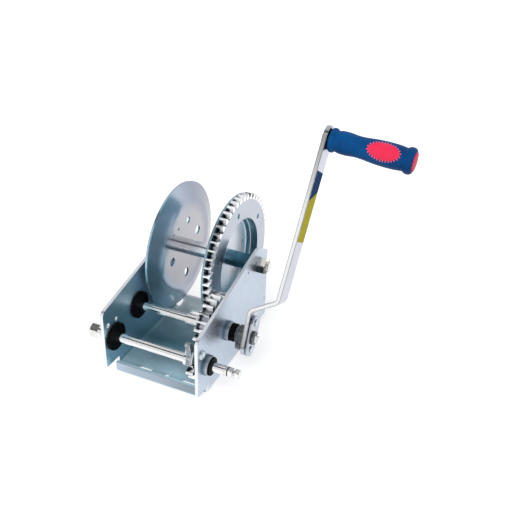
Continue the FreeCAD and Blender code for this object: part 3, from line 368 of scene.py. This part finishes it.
def flange_paint(name, flat, cone, roughness, cone_rougher):
    """Zinc-plated dish: cone hazier than the flat, its tone shifting from front to rear as painted reflection
    and shade, with painted shade on the walls inside the flat and pale edges as a painted highlight.
    """
    paint = Paint(name)
    blotch = paint.blotch()
    radius, _ = radius_from(paint, DRUM_AXIS)
    inner = (FLANGE_FLAT_RADIUS - CONE_FADE_WITHIN) * MM
    outer = (FLANGE_FLAT_RADIUS + CONE_FADE_BEYOND) * MM
    outward = paint.between(radius, 0.0, 1.0, inner, outer)
    level = paint.ramp(blotch, [(0.3, darker(flat, 0.92)), (0.7, flat)])
    # Painted reflection and shade: the cone's tone follows the place from front to rear.
    _, y, _ = paint.split(paint.place)
    front = (DRUM_AXIS[0] - FLANGE_RADIUS) * MM
    rear = (DRUM_AXIS[0] + FLANGE_RADIUS) * MM
    rearward = paint.between(y, 0.0, 1.0, front, rear)
    shift = paint.maths("ADD", rearward, paint.between(blotch, -0.04, 0.04))
    slope = paint.ramp(shift, cone)
    colour = paint.blend(outward, level, slope)
    facing, _, _ = paint.split(paint.node("ShaderNodeNewGeometry").outputs["Normal"])
    # Painted shade on the dish walls inside the flat.
    wall = paint.maths("MULTIPLY", paint.maths("LESS_THAN", paint.maths("ABSOLUTE", facing), FLANK_LIMIT),
                       paint.maths("LESS_THAN", radius, FLANGE_FLAT_RADIUS * MM))
    colour = paint.blend(wall, colour, (*BORE_SHADE_TEAL, 1.0))
    # Painted highlight: pale edges.
    return plate_metal(paint, colour, PALE_EDGE_HIGHLIGHT, roughness, (300.0, 300.0, 300.0), 0.85,
                       paint.between(outward, 0.0, cone_rougher))


def arm_paint(name, broad, narrow, line):
    """Zinc-plated flat bar: cool broad faces, and cut sides painted near white as a painted highlight, with
    painted shade as thin dark lines along their corners and towards both ends of the arm.
    """
    paint = Paint(name)
    _, y, z = paint.split(paint.place)
    lean = math.radians(CRANK_LEAN)
    y = paint.maths("SUBTRACT", y, MIDDLE_AXIS[0] * MM)
    z = paint.maths("SUBTRACT", z, MIDDLE_AXIS[1] * MM)
    across = paint.maths("SUBTRACT", paint.maths("MULTIPLY", y, math.cos(lean)),
                         paint.maths("MULTIPLY", z, math.sin(lean)))
    along = paint.maths("ADD", paint.maths("MULTIPLY", y, math.sin(lean)),
                        paint.maths("MULTIPLY", z, math.cos(lean)))
    side = paint.maths("GREATER_THAN", paint.maths("ABSOLUTE", across), (ARM_WIDTH / 2 - 0.15) * MM)
    corner, _ = paint.edge_mask(2.4 * MM)
    _, rounded = paint.edge_mask(EDGE_ROUNDING * MM)
    blotch = paint.blotch()
    face = paint.ramp(blotch, [(0.3, darker(broad, 0.9)), (0.7, broad)])
    # Painted shade: the cut sides darken towards both ends of the arm.
    cut_tones = [(0.0, darker(narrow, 0.42)), (0.22, narrow), (0.66, narrow), (1.0, darker(narrow, 0.4))]
    cut = paint.ramp(paint.between(along, 0.0, 1.0, -ARM_FOOT * MM, CRANK_RADIUS * MM), cut_tones)
    cut = paint.blend(corner, cut, (*line, 1.0))
    grain = paint.noise(1.0, 3.0, 0.5, paint.stretched((700.0, 700.0, 30.0)))
    paint.set(Base_Color=paint.blend(side, face, cut), Metallic=1.0)
    paint.set(Roughness=paint.between(grain, 0.2, 0.3), Normal=paint.bump(grain, GRAIN_DEPTH * MM, rounded))
    return paint.material


def gear_paint(name, axis, unshaded_radius, dark_radius, root_radius, gap_shade_to, light, shade, roughness):
    """Zinc-plated gear with teeth painted near white as a painted highlight, and nearly black painted shade
    in its tooth gaps towards the drum side.
    """
    paint = Paint(name)
    radius, x = radius_from(paint, axis)
    # Painted shade in the tooth gaps: ragged, deepening inwards from the tips and ending along the shaft away
    # from the drum side.
    jitter = paint.noise(260.0, 3.0)
    ragged = paint.maths("ADD", radius, paint.between(jitter, -GAP_SHADE_RAGGED * MM, GAP_SHADE_RAGGED * MM))
    depth = paint.between(ragged, 0.0, 1.0, unshaded_radius * MM, dark_radius * MM)
    spread = paint.maths("ADD", x, paint.between(jitter, -GAP_SHADE_SPREAD * MM, GAP_SHADE_SPREAD * MM))
    near_drum = paint.between(spread, 1.0, 0.0, (gap_shade_to - GAP_SHADE_SOFT) * MM,
                              (gap_shade_to + GAP_SHADE_SOFT) * MM)
    facing, _, _ = paint.split(paint.node("ShaderNodeNewGeometry").outputs["Normal"])
    flank = paint.maths("LESS_THAN", paint.maths("ABSOLUTE", facing), FLANK_LIMIT)
    root = (root_radius - ROOT_BELOW) * MM
    teeth = paint.maths("MULTIPLY", flank, paint.maths("GREATER_THAN", radius, root))
    body_colour = paint.ramp(paint.blotch(), [(0.3, shade), (0.7, light)])
    # Painted highlight: teeth beyond the root are near white.
    tooth = paint.maths("GREATER_THAN", radius, (root_radius + ROOT_ABOVE) * MM)
    body_colour = paint.blend(tooth, body_colour, (*TOOTH_HIGHLIGHT, 1.0))
    gap_shade = paint.ramp(paint.noise(300.0, 3.0), [(0.3, (0.012, 0.016, 0.02)), (0.75, (0.05, 0.06, 0.066))])
    # Painted shade in the bore.
    bore = paint.maths("MULTIPLY", flank, paint.maths("LESS_THAN", radius, root))
    body_colour = paint.blend(bore, body_colour, (*BORE_SHADE_TEAL, 1.0))
    gap_shaded = paint.maths("MULTIPLY", paint.maths("MULTIPLY", depth, near_drum), teeth)
    colour = paint.blend(gap_shaded, body_colour, gap_shade)
    return plate_metal(paint, colour, darker(light, 1.08), roughness, (60.0, 700.0, 700.0))


def turned_paint(name, light, shade, roughness, edge=(0.95, 0.94, 0.92), thread=None, dark_rings=()):
    """Bright turned steel with fine rings round the shaft line, a thread on one stretch and thin dark rings.
    """
    paint = Paint(name)
    mask, rounded = paint.edge_mask(0.6 * MM)
    rings = paint.bands(420.0, "X", 2.0)
    streak = paint.noise(1.0, 4.0, 0.6, paint.stretched((1400.0, 90.0, 90.0)))
    colour = paint.ramp(streak, [(0.35, shade), (0.65, light)])
    colour = paint.blend(paint.maths("MULTIPLY", mask, EDGE_SHARE), colour, (*edge, 1.0))
    rough = paint.between(paint.noise(240.0, 4.0), roughness - 0.05, roughness + 0.06)
    height = paint.maths("MULTIPLY", rings, 0.006)
    x, _, _ = paint.split(paint.place)
    if thread is not None:
        inside = paint.maths("MULTIPLY", paint.maths("GREATER_THAN", x, thread[0] * MM),
                             paint.maths("LESS_THAN", x, thread[1] * MM))
        height = paint.maths("ADD", height, paint.maths("MULTIPLY", paint.bands(180.0, "X"), inside))
    # Thin dark rings round the shaft at the given places.
    for centre, half_width in dark_rings:
        away = paint.maths("ABSOLUTE", paint.maths("SUBTRACT", x, centre * MM))
        dark_ring = paint.between(away, 1.0, 0.0, 0.4 * half_width * MM, half_width * MM)
        colour = paint.blend(dark_ring, colour, (*DARK_RING_COLOUR, 1.0))
    paint.set(Base_Color=colour, Metallic=1.0, Roughness=rough)
    paint.set(Normal=paint.bump(height, 0.35 * MM, rounded))
    return paint.material


def washer_paint(name, seat_shade, rim):
    """Collars pressed on the plates, dark where they meet the plate as painted shade, and pale at their outer
    rims.
    """
    paint = Paint(name)
    x, _, _ = paint.split(paint.place)
    seat_end = (PLATE_OUTER + WASHER_SEAT) * MM
    rim_start = (PLATE_OUTER + WASHER_RIM) * MM
    out = paint.between(paint.maths("ABSOLUTE", x), 0.0, 1.0, seat_end, rim_start)
    cloud = paint.noise(60.0, 4.0)
    shaded_seat = paint.ramp(cloud, [(0.3, darker(seat_shade, 0.75)), (0.7, seat_shade)])
    bright = paint.ramp(cloud, [(0.3, darker(rim, 0.9)), (0.7, rim)])
    return plate_metal(paint, paint.blend(out, shaded_seat, bright), rim, 0.4, (60.0, 700.0, 700.0))


def tube_paint(name, light, shade, roughness):
    """Bright drawn tube of the drum, painted teal where it lies inside the ring gear as painted shade."""
    paint = Paint(name)
    streak = paint.noise(1.0, 4.0, 0.6, paint.stretched((60.0, 900.0, 900.0)))
    x, _, _ = paint.split(paint.place)
    bright = paint.ramp(streak, [(0.35, shade), (0.65, light)])
    # Painted shade inside the ring gear.
    inside = paint.between(x, 0.0, 1.0, (RIGHT_FLANGE_FACE - TUBE_FADE) * MM,
                           (RIGHT_FLANGE_FACE + TUBE_FADE) * MM)
    rough = paint.between(paint.noise(240.0, 4.0), roughness - 0.05, roughness + 0.06)
    paint.set(Base_Color=paint.blend(inside, bright, (*BORE_SHADE_TEAL, 1.0)), Metallic=1.0, Roughness=rough)
    paint.set(Normal=paint.bump(streak, 0.006 * MM))
    return paint.material


def nut_paint(name, light, lower_shade):
    """Olive-passivated nut on the drum bolt, dark on its lower half as painted shade."""
    paint = Paint(name)
    mask, rounded = paint.edge_mask(EDGE_ROUNDING * MM)
    cloud = paint.noise(300.0, 4.0)
    # Painted shade: darker below a ragged line a little above the axis.
    _, _, z = paint.split(paint.place)
    height = paint.maths("SUBTRACT", z, DRUM_AXIS[1] * MM)
    height = paint.maths("ADD", height, paint.between(cloud, -1.0 * MM, 1.0 * MM))
    above = paint.between(height, 0.0, 1.0, NUT_SHADE_FADE[0] * MM, NUT_SHADE_FADE[1] * MM)
    colour = paint.blend(above, (*lower_shade, 1.0), (*light, 1.0))
    colour = paint.blend(paint.maths("MULTIPLY", mask, 0.4), colour, (*light, 1.0))
    paint.set(Base_Color=colour, Metallic=1.0, Roughness=paint.between(cloud, 0.12, 0.22))
    paint.set(Normal=paint.bump(cloud, 0.02 * MM, rounded))
    return paint.material


def dark_paint(name, light, shade, edge=0.6, wear_and_painted_light=(0.3, 0.31, 0.33)):
    """Blackened steel, satin, with lighter edges of bare metal, which where wide and near white are also a
    painted highlight.
    """
    paint = Paint(name)
    mask, rounded = paint.edge_mask(edge * MM)
    cloud = paint.noise(300.0, 4.0)
    colour = paint.ramp(cloud, [(0.3, shade), (0.6, light), (0.72, wear_and_painted_light)])
    colour = paint.blend(paint.maths("MULTIPLY", mask, 0.8), colour, (*wear_and_painted_light, 1.0))
    paint.set(Base_Color=colour, Metallic=0.85, Roughness=paint.between(cloud, 0.28, 0.44))
    paint.set(Normal=paint.bump(cloud, 0.03 * MM, rounded))
    return paint.material


def nylon_paint(name):
    """Black moulded nylon with a fine satin texture."""
    paint = Paint(name)
    mask, rounded = paint.edge_mask(EDGE_ROUNDING * MM)
    fleck = paint.noise(1800.0, 3.0)
    colour = paint.ramp(fleck, [(0.3, (0.001, 0.001, 0.0015)), (0.8, (0.004, 0.004, 0.005))])
    colour = paint.blend(paint.maths("MULTIPLY", mask, 0.5), colour, (0.02, 0.02, 0.022, 1.0))
    paint.set(Base_Color=colour, Roughness=paint.between(fleck, 0.45, 0.6), Specular_IOR_Level=0.05)
    paint.set(Normal=paint.bump(fleck, 0.03 * MM, rounded))
    return paint.material


def rubber_paint(name, light, shade):
    """Soft moulded rubber with a pebbled skin and a cloudy tone."""
    paint = Paint(name)
    pebble = paint.cells(1500.0)
    cloud = paint.noise(55.0, 4.0)
    colour = paint.ramp(cloud, [(0.3, shade), (0.7, light)])
    rough = paint.maths("ADD", paint.between(cloud, 0.42, 0.54), paint.between(pebble, -0.03, 0.05))
    paint.set(Base_Color=colour, Roughness=rough, Specular_IOR_Level=0.1)
    paint.set(Normal=paint.bump(pebble, 0.05 * MM))
    return paint.material


def film_paint(name, light, shade):
    """Printed adhesive film: even colour, satin, with faint ripples of the metal beneath."""
    paint = Paint(name)
    cloud = paint.noise(70.0, 4.0)
    ripple = paint.noise(900.0, 2.0)
    paint.set(Base_Color=paint.ramp(cloud, [(0.3, shade), (0.7, light)]), Specular_IOR_Level=0.02,
              Roughness=paint.between(ripple, 0.5, 0.62), Normal=paint.bump(ripple, 0.01 * MM))
    return paint.material


def floor_paint(name):
    """Pale seamless paper on a light table, whose glow is kept out of scattered light."""
    paint = Paint(name)
    fibre = paint.noise(700.0, 4.0)
    colour = paint.ramp(fibre, [(0.2, (0.585, 0.588, 0.592)), (0.8, (0.612, 0.612, 0.615))])
    scattered = paint.node("ShaderNodeLightPath").outputs["Is Diffuse Ray"]
    paint.set(Base_Color=colour, Roughness=paint.between(fibre, 0.82, 0.92), Emission_Color=colour,
              Emission_Strength=paint.between(scattered, FLOOR_GLOW, 0.0))
    return paint.material


def crank_point(x, across, along):
    """Row point, in metres, of a place on the crank: x along the shaft, across and along the arm."""
    lean = math.radians(CRANK_LEAN)
    y = MIDDLE_AXIS[0] + across * math.cos(lean) + along * math.sin(lean)
    z = MIDDLE_AXIS[1] - across * math.sin(lean) + along * math.cos(lean)
    return Vector((x, y, z)) * MM


def arm_face_point(across, along, proud):
    """Row point on the outer broad face of the arm above its second bend."""
    splay = math.radians(ARM_SPLAY)
    x = ARM_OUTER_AT_BEND + (along - ARM_SECOND_BEND) * math.tan(splay)
    return crank_point(x + proud * math.cos(splay), across, along - proud * math.sin(splay))


def grip_point(along, facing, across, out):
    """Row point by the grip: along its line, then across and out from it on the side that faces that way."""
    splay = math.radians(ARM_SPLAY)
    turn = math.radians(facing)
    y = across * math.sin(turn) + out * math.cos(turn)
    z = -across * math.cos(turn) + out * math.sin(turn)
    x_from_face = along * math.cos(splay) + z * math.sin(splay)
    z_on_arm = -along * math.sin(splay) + z * math.cos(splay)
    start = ARM_OUTER_AT_BEND + (CRANK_RADIUS - ARM_SECOND_BEND) * math.tan(splay)
    start -= ARM_THICKNESS / 2 * (1.0 - math.cos(splay))
    drop = ARM_THICKNESS / 2 * math.sin(splay)
    return crank_point(start + x_from_face, y, CRANK_RADIUS - drop + z_on_arm)


def add_piece(name, mesh, material, body):
    piece = bpy.data.objects.new(name, mesh)
    bpy.context.scene.collection.objects.link(piece)
    piece.data.materials.append(material)
    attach(piece, body)
    return piece


def film_band(name, lower_front, lower_rear, upper_front, upper_rear, material):
    """Thin film on the arm's outer face between two slanting ends, given as heights on its two edges."""
    half = ARM_WIDTH / 2 - FILM_INSET
    mesh = bmesh.new()
    grid = []
    for row in range(FILM_ROWS + 1):
        share = row / FILM_ROWS
        front = lower_front + (upper_front - lower_front) * share
        rear = lower_rear + (upper_rear - lower_rear) * share
        line = []
        for column in range(FILM_COLUMNS + 1):
            across = -half + 2 * half * column / FILM_COLUMNS
            along = front + (rear - front) * column / FILM_COLUMNS
            line.append(mesh.verts.new(arm_face_point(across, along, FILM_LIFT)))
        grid.append(line)
    for row in range(FILM_ROWS):
        for column in range(FILM_COLUMNS):
            mesh.faces.new((grid[row][column], grid[row][column + 1], grid[row + 1][column + 1],
                            grid[row + 1][column]))
    bmesh.ops.recalc_face_normals(mesh, faces=mesh.faces)
    data = bpy.data.meshes.new(name)
    mesh.to_mesh(data)
    mesh.free()
    piece = add_piece(name, data, material, "middle")
    thick = piece.modifiers.new("thickness", "SOLIDIFY")
    thick.thickness = FILM_THICKNESS * MM
    thick.offset = 0.0
    return piece


def oval_places(count):
    """Evenly spaced places on the insert's edge, each with the direction out from it."""
    points = []
    lengths = [0.0]
    for i in range(OVAL_STEPS + 1):
        turn = 2 * math.pi * i / OVAL_STEPS
        points.append(Vector((INSERT_HALF_LENGTH * math.cos(turn), INSERT_HALF_WIDTH * math.sin(turn))))
        if i:
            lengths.append(lengths[-1] + (points[i] - points[i - 1]).length)
    places = []
    for k in range(count):
        wanted = lengths[-1] * (k + 0.5) / count
        i = next(j for j in range(OVAL_STEPS + 1) if lengths[j] >= wanted)
        out = Vector((points[i].x / INSERT_HALF_LENGTH ** 2, points[i].y / INSERT_HALF_WIDTH ** 2))
        places.append((points[i], out.normalized()))
    return places


def grip_skin(name, material):
    """Moulded outside of the grip, turned round its line: collars with creases beside them, waist, swell."""
    knots = [Vector(knot) for knot in GRIP_PROFILE]
    profile = [Vector((GRIP_START, SPINDLE_RADIUS)), knots[0]]
    for i in range(len(knots) - 1):
        start, stop = knots[i], knots[i + 1]
        leaving = (stop - knots[max(i - 1, 0)]) / 2
        arriving = (knots[min(i + 2, len(knots) - 1)] - start) / 2
        for step in range(1, GRIP_STEPS + 1):
            t = step / GRIP_STEPS
            profile.append(start * (2 * t ** 3 - 3 * t ** 2 + 1) + leaving * (t ** 3 - 2 * t ** 2 + t)
                           + stop * (3 * t ** 2 - 2 * t ** 3) + arriving * (t ** 3 - t ** 2))
    mesh = bmesh.new()
    rings = []
    for along, radius in profile:
        ring = []
        for k in range(GRIP_SEGMENTS):
            turn = 2 * math.pi * k / GRIP_SEGMENTS
            spot = grip_point(along, 0.0, radius * math.sin(turn), radius * math.cos(turn))
            ring.append(mesh.verts.new(spot))
        rings.append(ring)
    for lower, upper in zip(rings, rings[1:]):
        for k in range(GRIP_SEGMENTS):
            after = (k + 1) % GRIP_SEGMENTS
            mesh.faces.new((lower[k], lower[after], upper[after], upper[k])).smooth = True
    mesh.faces.new(rings[0])
    mesh.faces.new(rings[-1])
    bmesh.ops.recalc_face_normals(mesh, faces=mesh.faces)
    data = bpy.data.meshes.new(name)
    mesh.to_mesh(data)
    mesh.free()
    skin = add_piece(name, data, material, "handgrip")
    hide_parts("grip")
    return skin


def surface_tree(objects):
    vertices = []
    faces = []
    for obj in objects:
        first = len(vertices)
        vertices.extend(vertex.co.copy() for vertex in obj.data.vertices)
        faces.extend([first + i for i in face.vertices] for face in obj.data.polygons)
    return BVHTree.FromPolygons(vertices, faces)


def grip_ribs(name, facing, carriers, material):
    """Ring of short rounded ribs round one oval insert, each laid on the surface under it."""
    tree = surface_tree(carriers)
    inward = (grip_point(0.0, facing, 0.0, 0.0) - grip_point(0.0, facing, 0.0, 1.0)).normalized()
    rings = ((0.45, 0.95), (0.8, 0.7), (0.96, 0.3), (1.0, -RIB_SINK / RIB_HEIGHT))
    mesh = bmesh.new()

    def laid(spot, height):
        start = grip_point(GRIP_START + INSERT_PLACE + spot.x, facing, spot.y, RIB_DROP_HEIGHT)
        hit, normal, _, _ = tree.ray_cast(start, inward)
        return mesh.verts.new(hit + normal * height * RIB_HEIGHT * MM)

    for edge, out in oval_places(RIB_COUNT):
        side = Vector((-out.y, out.x))
        middle = edge + out * (RIB_LENGTH / 2 - RIB_OVERLAP)
        crown = laid(middle, 1.0)
        inner = None
        for share, height in rings:
            loop = []
            for k in range(RIB_SEGMENTS):
                turn = 2 * math.pi * k / RIB_SEGMENTS
                spot = middle + out * (share * RIB_LENGTH / 2 * math.cos(turn))
                spot += side * (share * RIB_WIDTH / 2 * math.sin(turn))
                loop.append(laid(spot, height))
            for k in range(RIB_SEGMENTS):
                after = (k + 1) % RIB_SEGMENTS
                if inner is None:
                    mesh.faces.new((crown, loop[k], loop[after]))
                else:
                    mesh.faces.new((inner[k], loop[k], loop[after], inner[after]))
            inner = loop
    for face in mesh.faces:
        face.smooth = True
    bmesh.ops.recalc_face_normals(mesh, faces=mesh.faces)
    data = bpy.data.meshes.new(name)
    mesh.to_mesh(data)
    mesh.free()
    return add_piece(name, data, material, "handgrip")


def place_camera():
    azimuth = math.radians(CAMERA_AZIMUTH)
    elevation = math.radians(CAMERA_ELEVATION)
    roll = math.radians(CAMERA_ROLL)
    back = Vector((math.sin(azimuth) * math.cos(elevation), -math.cos(azimuth) * math.cos(elevation),
                   math.sin(elevation)))
    right = Vector((math.cos(azimuth), math.sin(azimuth), 0.0))
    up = back.cross(right)
    tilted_right = right * math.cos(roll) + up * math.sin(roll)
    tilted_up = up * math.cos(roll) - right * math.sin(roll)
    place = (Vector(CAMERA_TARGET) + back * CAMERA_DISTANCE) * MM
    data = bpy.data.cameras.new("camera")
    data.sensor_width = SENSOR_WIDTH
    data.lens = FOCAL_PIXELS * SENSOR_WIDTH / IMAGE_PIXELS
    data.clip_start = 0.01
    camera = bpy.data.objects.new("camera", data)
    bpy.context.scene.collection.objects.link(camera)
    camera.matrix_world = Matrix((
        (tilted_right.x, tilted_up.x, back.x, place.x),
        (tilted_right.y, tilted_up.y, back.y, place.y),
        (tilted_right.z, tilted_up.z, back.z, place.z),
        (0.0, 0.0, 0.0, 1.0)))
    bpy.context.scene.camera = camera


def light_studio():
    """Soft sun from the front, and a sky round the shaft line: white in front, a dark gap, pale overhead."""
    sun = bpy.data.lights.new("soft_sun", "SUN")
    sun.energy = SUN_STRENGTH
    sun.angle = math.radians(SUN_SPREAD)
    sun_object = bpy.data.objects.new("soft_sun", sun)
    bpy.context.scene.collection.objects.link(sun_object)
    azimuth = math.radians(SUN_AZIMUTH)
    elevation = math.radians(SUN_ELEVATION)
    towards = Vector((math.sin(azimuth) * math.cos(elevation), -math.cos(azimuth) * math.cos(elevation),
                      math.sin(elevation)))
    sun_object.rotation_euler = towards.to_track_quat("Z", "Y").to_euler()
    sun_object.visible_glossy = False
    world = bpy.data.worlds.new("studio")
    bpy.context.scene.world = world
    world.use_nodes = True
    tree = world.node_tree
    ground = tree.nodes["Background"]
    place = tree.nodes.new("ShaderNodeTexCoord")
    split = tree.nodes.new("ShaderNodeSeparateXYZ")
    ahead = tree.nodes.new("ShaderNodeMath")
    ahead.operation = "MULTIPLY"
    ahead.inputs[1].default_value = -1.0
    turn = tree.nodes.new("ShaderNodeMath")
    turn.operation = "ARCTAN2"
    share = tree.nodes.new("ShaderNodeMapRange")
    share.inputs["From Max"].default_value = math.pi
    fade = tree.nodes.new("ShaderNodeValToRGB")
    tree.links.new(place.outputs["Generated"], split.inputs["Vector"])
    tree.links.new(split.outputs["Y"], ahead.inputs[0])
    tree.links.new(split.outputs["Z"], turn.inputs[0])
    tree.links.new(ahead.outputs["Value"], turn.inputs[1])
    tree.links.new(turn.outputs["Value"], share.inputs["Value"])
    tree.links.new(share.outputs["Result"], fade.inputs["Fac"])
    tree.links.new(fade.outputs["Color"], ground.inputs["Color"])
    stops = fade.color_ramp.elements
    while len(stops) < len(SKY):
        stops.new(0.5)
    for stop, (angle, level) in zip(stops, SKY):
        stop.position = angle / 180.0
        stop.color = (*(level * tint for tint in SKY_TINT), 1.0)
    ground.inputs["Strength"].default_value = SKY_STRENGTH
    plain = tree.nodes.new("ShaderNodeBackground")
    plain.inputs["Color"].default_value = (1.0, 1.0, 1.0, 1.0)
    path = tree.nodes.new("ShaderNodeLightPath")
    seen = tree.nodes.new("ShaderNodeMixShader")
    tree.links.new(path.outputs["Is Camera Ray"], seen.inputs["Fac"])
    tree.links.new(ground.outputs["Background"], seen.inputs[1])
    tree.links.new(plain.outputs["Background"], seen.inputs[2])
    tree.links.new(seen.outputs["Shader"], tree.nodes["World Output"].inputs["Surface"])


def lay_floor():
    mesh = bmesh.new()
    bmesh.ops.create_grid(mesh, x_segments=8, y_segments=8, size=FLOOR_HALF_WIDTH)
    data = bpy.data.meshes.new("floor")
    mesh.to_mesh(data)
    mesh.free()
    floor = bpy.data.objects.new("floor", data)
    bpy.context.scene.collection.objects.link(floor)
    floor.location.z = -FLOOR_DROP
    floor.data.materials.append(floor_paint("paper"))


def dress_nodes(nodes):
    """Gives each carried-over piece the finish of its material slot, or its own variant of it."""
    # Painted shade and reflection: the channel's front and rear tones, the lip and the base tones; painted
    # highlight on the pale cut faces.
    sheet = frame_paint("zinc_sheet", outside=(0.56, 0.63, 0.73), edge=PALE_EDGE_HIGHLIGHT, lip=(0.47, 0.55, 0.64),
                        front=(0.54, 0.77, 0.89), rear=(0.27, 0.43, 0.53),
                        base_tones=[(0.0, (0.44, 0.64, 0.73)), (0.22, (0.38, 0.58, 0.69)),
                                    (0.45, (0.07, 0.18, 0.24)), (0.7, (0.24, 0.38, 0.45)),
                                    (1.0, (0.82, 0.9, 0.93))],
                        roughness=0.34)
    # Painted reflection and shade on the left flange's cone, from front to rear.
    flange = flange_paint("zinc_flange", flat=(0.5, 0.49, 0.53),
                          cone=[(0.0, (0.3, 0.49, 0.6)), (0.3, (0.34, 0.48, 0.6)), (0.45, (0.42, 0.48, 0.58)),
                                (0.62, (0.3, 0.33, 0.41)), (1.0, (0.3, 0.31, 0.35))],
                          roughness=0.1, cone_rougher=0.1)
    # Painted reflection: the right flange's flat is near white; painted shade: its cone is a darker teal.
    ring_flange = flange_paint("zinc_ring_flange", flat=(0.88, 0.92, 0.99),
                               cone=[(0.3, (0.26, 0.4, 0.47)), (0.7, (0.3, 0.45, 0.53))],
                               roughness=0.4, cone_rougher=0.02)
    turned = (60.0, 700.0, 700.0)
    rolled_upward = (700.0, 700.0, 30.0)
    small = zinc_paint("zinc_small", light=(0.62, 0.68, 0.74), shade=(0.48, 0.55, 0.61), roughness=0.24,
                       grain_direction=turned)
    # Rivets: darker blue-grey as painted shade of the recesses they sit in.
    rivet = zinc_paint("zinc_rivet", light=(0.22, 0.34, 0.44), shade=(0.15, 0.26, 0.35), roughness=0.3,
                       grain_direction=turned)
    # Painted shade on the collars next to the plates.
    collar = washer_paint("zinc_collar", seat_shade=(0.17, 0.24, 0.29), rim=(0.6, 0.64, 0.72))
    # Gear finishes: teeth with a painted highlight, tooth gaps with painted shade.
    zinc = {"light": (0.5, 0.53, 0.59), "shade": (0.42, 0.45, 0.51), "roughness": 0.24}
    ring = gear_paint("gear_ring", DRUM_AXIS, unshaded_radius=82.6, dark_radius=80.4, root_radius=76.7,
                      gap_shade_to=30.8, **zinc)
    middle = gear_paint("gear_middle", MIDDLE_AXIS, unshaded_radius=39.8, dark_radius=37.6, root_radius=34.0,
                        gap_shade_to=41.0, **zinc)
    middle_pinion = gear_paint("gear_middle_pinion", MIDDLE_AXIS, unshaded_radius=18.4, dark_radius=16.4,
                               root_radius=12.0, gap_shade_to=33.0, **zinc)
    front_pinion = gear_paint("gear_front_pinion", FRONT_AXIS, unshaded_radius=18.4, dark_radius=16.4,
                              root_radius=12.0, gap_shade_to=50.0, **zinc)
    # Painted highlight on the cut sides, and painted shade as dark lines along their corners.
    arm = arm_paint("zinc_arm", broad=(0.55, 0.56, 0.63), narrow=(0.99, 0.99, 0.99), line=(0.1, 0.1, 0.11))
    clip = zinc_paint("zinc_clip", light=(0.52, 0.56, 0.62), shade=(0.4, 0.44, 0.5), roughness=0.28,
                      grain_direction=rolled_upward)
    bright = {"light": (0.9, 0.9, 0.9), "shade": (0.76, 0.76, 0.76), "roughness": 0.08}
    shaft = turned_paint("bright_shaft", **bright)
    # Painted shade: the front shaft's edges are dark.
    front_shaft = turned_paint("bright_front_shaft", **bright, edge=(0.1, 0.1, 0.1), thread=(-92.0, -78.0),
                               dark_rings=((88.8, 1.1), (96.8, 0.8)))
    bolt = turned_paint("bright_bolt", light=(0.88, 0.86, 0.82), shade=(0.7, 0.68, 0.64), roughness=0.17,
                        thread=(72.6, 80.0))
    tube = tube_paint("bright_tube", light=(0.96, 0.97, 0.99), shade=(0.84, 0.86, 0.89), roughness=0.24)
    nut = nut_paint("olive_nut", light=(0.92, 0.91, 0.84), lower_shade=(0.06, 0.075, 0.07))
    spindle = turned_paint("bright_nut", light=(0.86, 0.85, 0.83), shade=(0.66, 0.65, 0.63), roughness=0.2)
    dark = dark_paint("dark_steel", light=(0.15, 0.16, 0.175), shade=(0.07, 0.078, 0.088))
    # Pawl: wide near-white edges, partly wear and partly a painted highlight.
    pawl = dark_paint("dark_pawl", light=(0.3, 0.34, 0.37), shade=(0.16, 0.2, 0.23), edge=1.6,
                      wear_and_painted_light=(0.85, 0.87, 0.9))
    nylon = nylon_paint("black_nylon")
    blue = rubber_paint("blue_rubber", light=(0.001, 0.066, 0.215), shade=(0.0008, 0.034, 0.132))
    red = rubber_paint("red_rubber", light=(0.72, 0.034, 0.09), shade=(0.63, 0.021, 0.064))
    finishes = {
        "frame": sheet, "bush_washers": collar, "crank_clip": clip, "crank_arm": arm,
        "drum_flange_left": flange, "drum_flange_right": ring_flange,
        "ring_gear": ring, "gear_rivets": rivet, "middle_pinion": middle_pinion, "middle_gear": middle,
        "front_pinion": front_pinion, "middle_ring": small, "clip_rivets": small, "pawl": pawl,
        "pawl_pin": small, "spring_anchor": small, "pawl_spring": spindle, "middle_shaft": shaft,
        "front_shaft": front_shaft, "middle_sleeve": shaft, "front_collar": shaft, "front_spacer": shaft,
        "drum_tube": tube, "drum_bolt": bolt, "drum_nut": nut, "front_nut": spindle, "grip_spindle": spindle,
        "crank_boss": dark, "crank_ring": dark, "bush_front_left": nylon, "bush_front_right": nylon,
        "bush_middle_left": nylon, "bush_middle_right": nylon, "grip_washer": nylon, "grip": blue,
        "grip_insert_front": red, "grip_insert_back": red, "grip_cap": red,
    }
    for name, node in nodes.items():
        node.data.materials.clear()
        node.data.materials.append(finishes[name])


def add_pieces(nodes):
    yellow = film_paint("yellow_film", light=(0.53, 0.46, 0.036), shade=(0.46, 0.4, 0.03))
    navy = film_paint("navy_film", light=(0.008, 0.05, 0.16), shade=(0.006, 0.036, 0.12))
    # Ribs are a lighter pink than the red they are moulded in, as a painted highlight.
    rib_highlight_pink = rubber_paint("rib_rubber", light=(0.78, 0.14, 0.23), shade=(0.72, 0.1, 0.18))
    film_band("band_yellow", lower_front=120.65, lower_rear=118.74, upper_front=167.0, upper_rear=177.0,
              material=yellow)
    film_band("band_navy", lower_front=167.5, lower_rear=177.5, upper_front=201.18, upper_rear=198.74,
              material=navy)
    skin = grip_skin("grip_skin", nodes["grip"].data.materials[0])
    grip_ribs("grip_ribs_front", INSERT_FACING, (skin, nodes["grip_insert_front"]), rib_highlight_pink)
    grip_ribs("grip_ribs_back", INSERT_FACING + 180.0, (skin, nodes["grip_insert_back"]), rib_highlight_pink)


def main():
    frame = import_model()
    dress_nodes(frame["nodes"])
    add_pieces(frame["nodes"])
    lay_floor()
    light_studio()
    place_camera()
    bpy.context.scene.view_settings.view_transform = "Standard"


main()
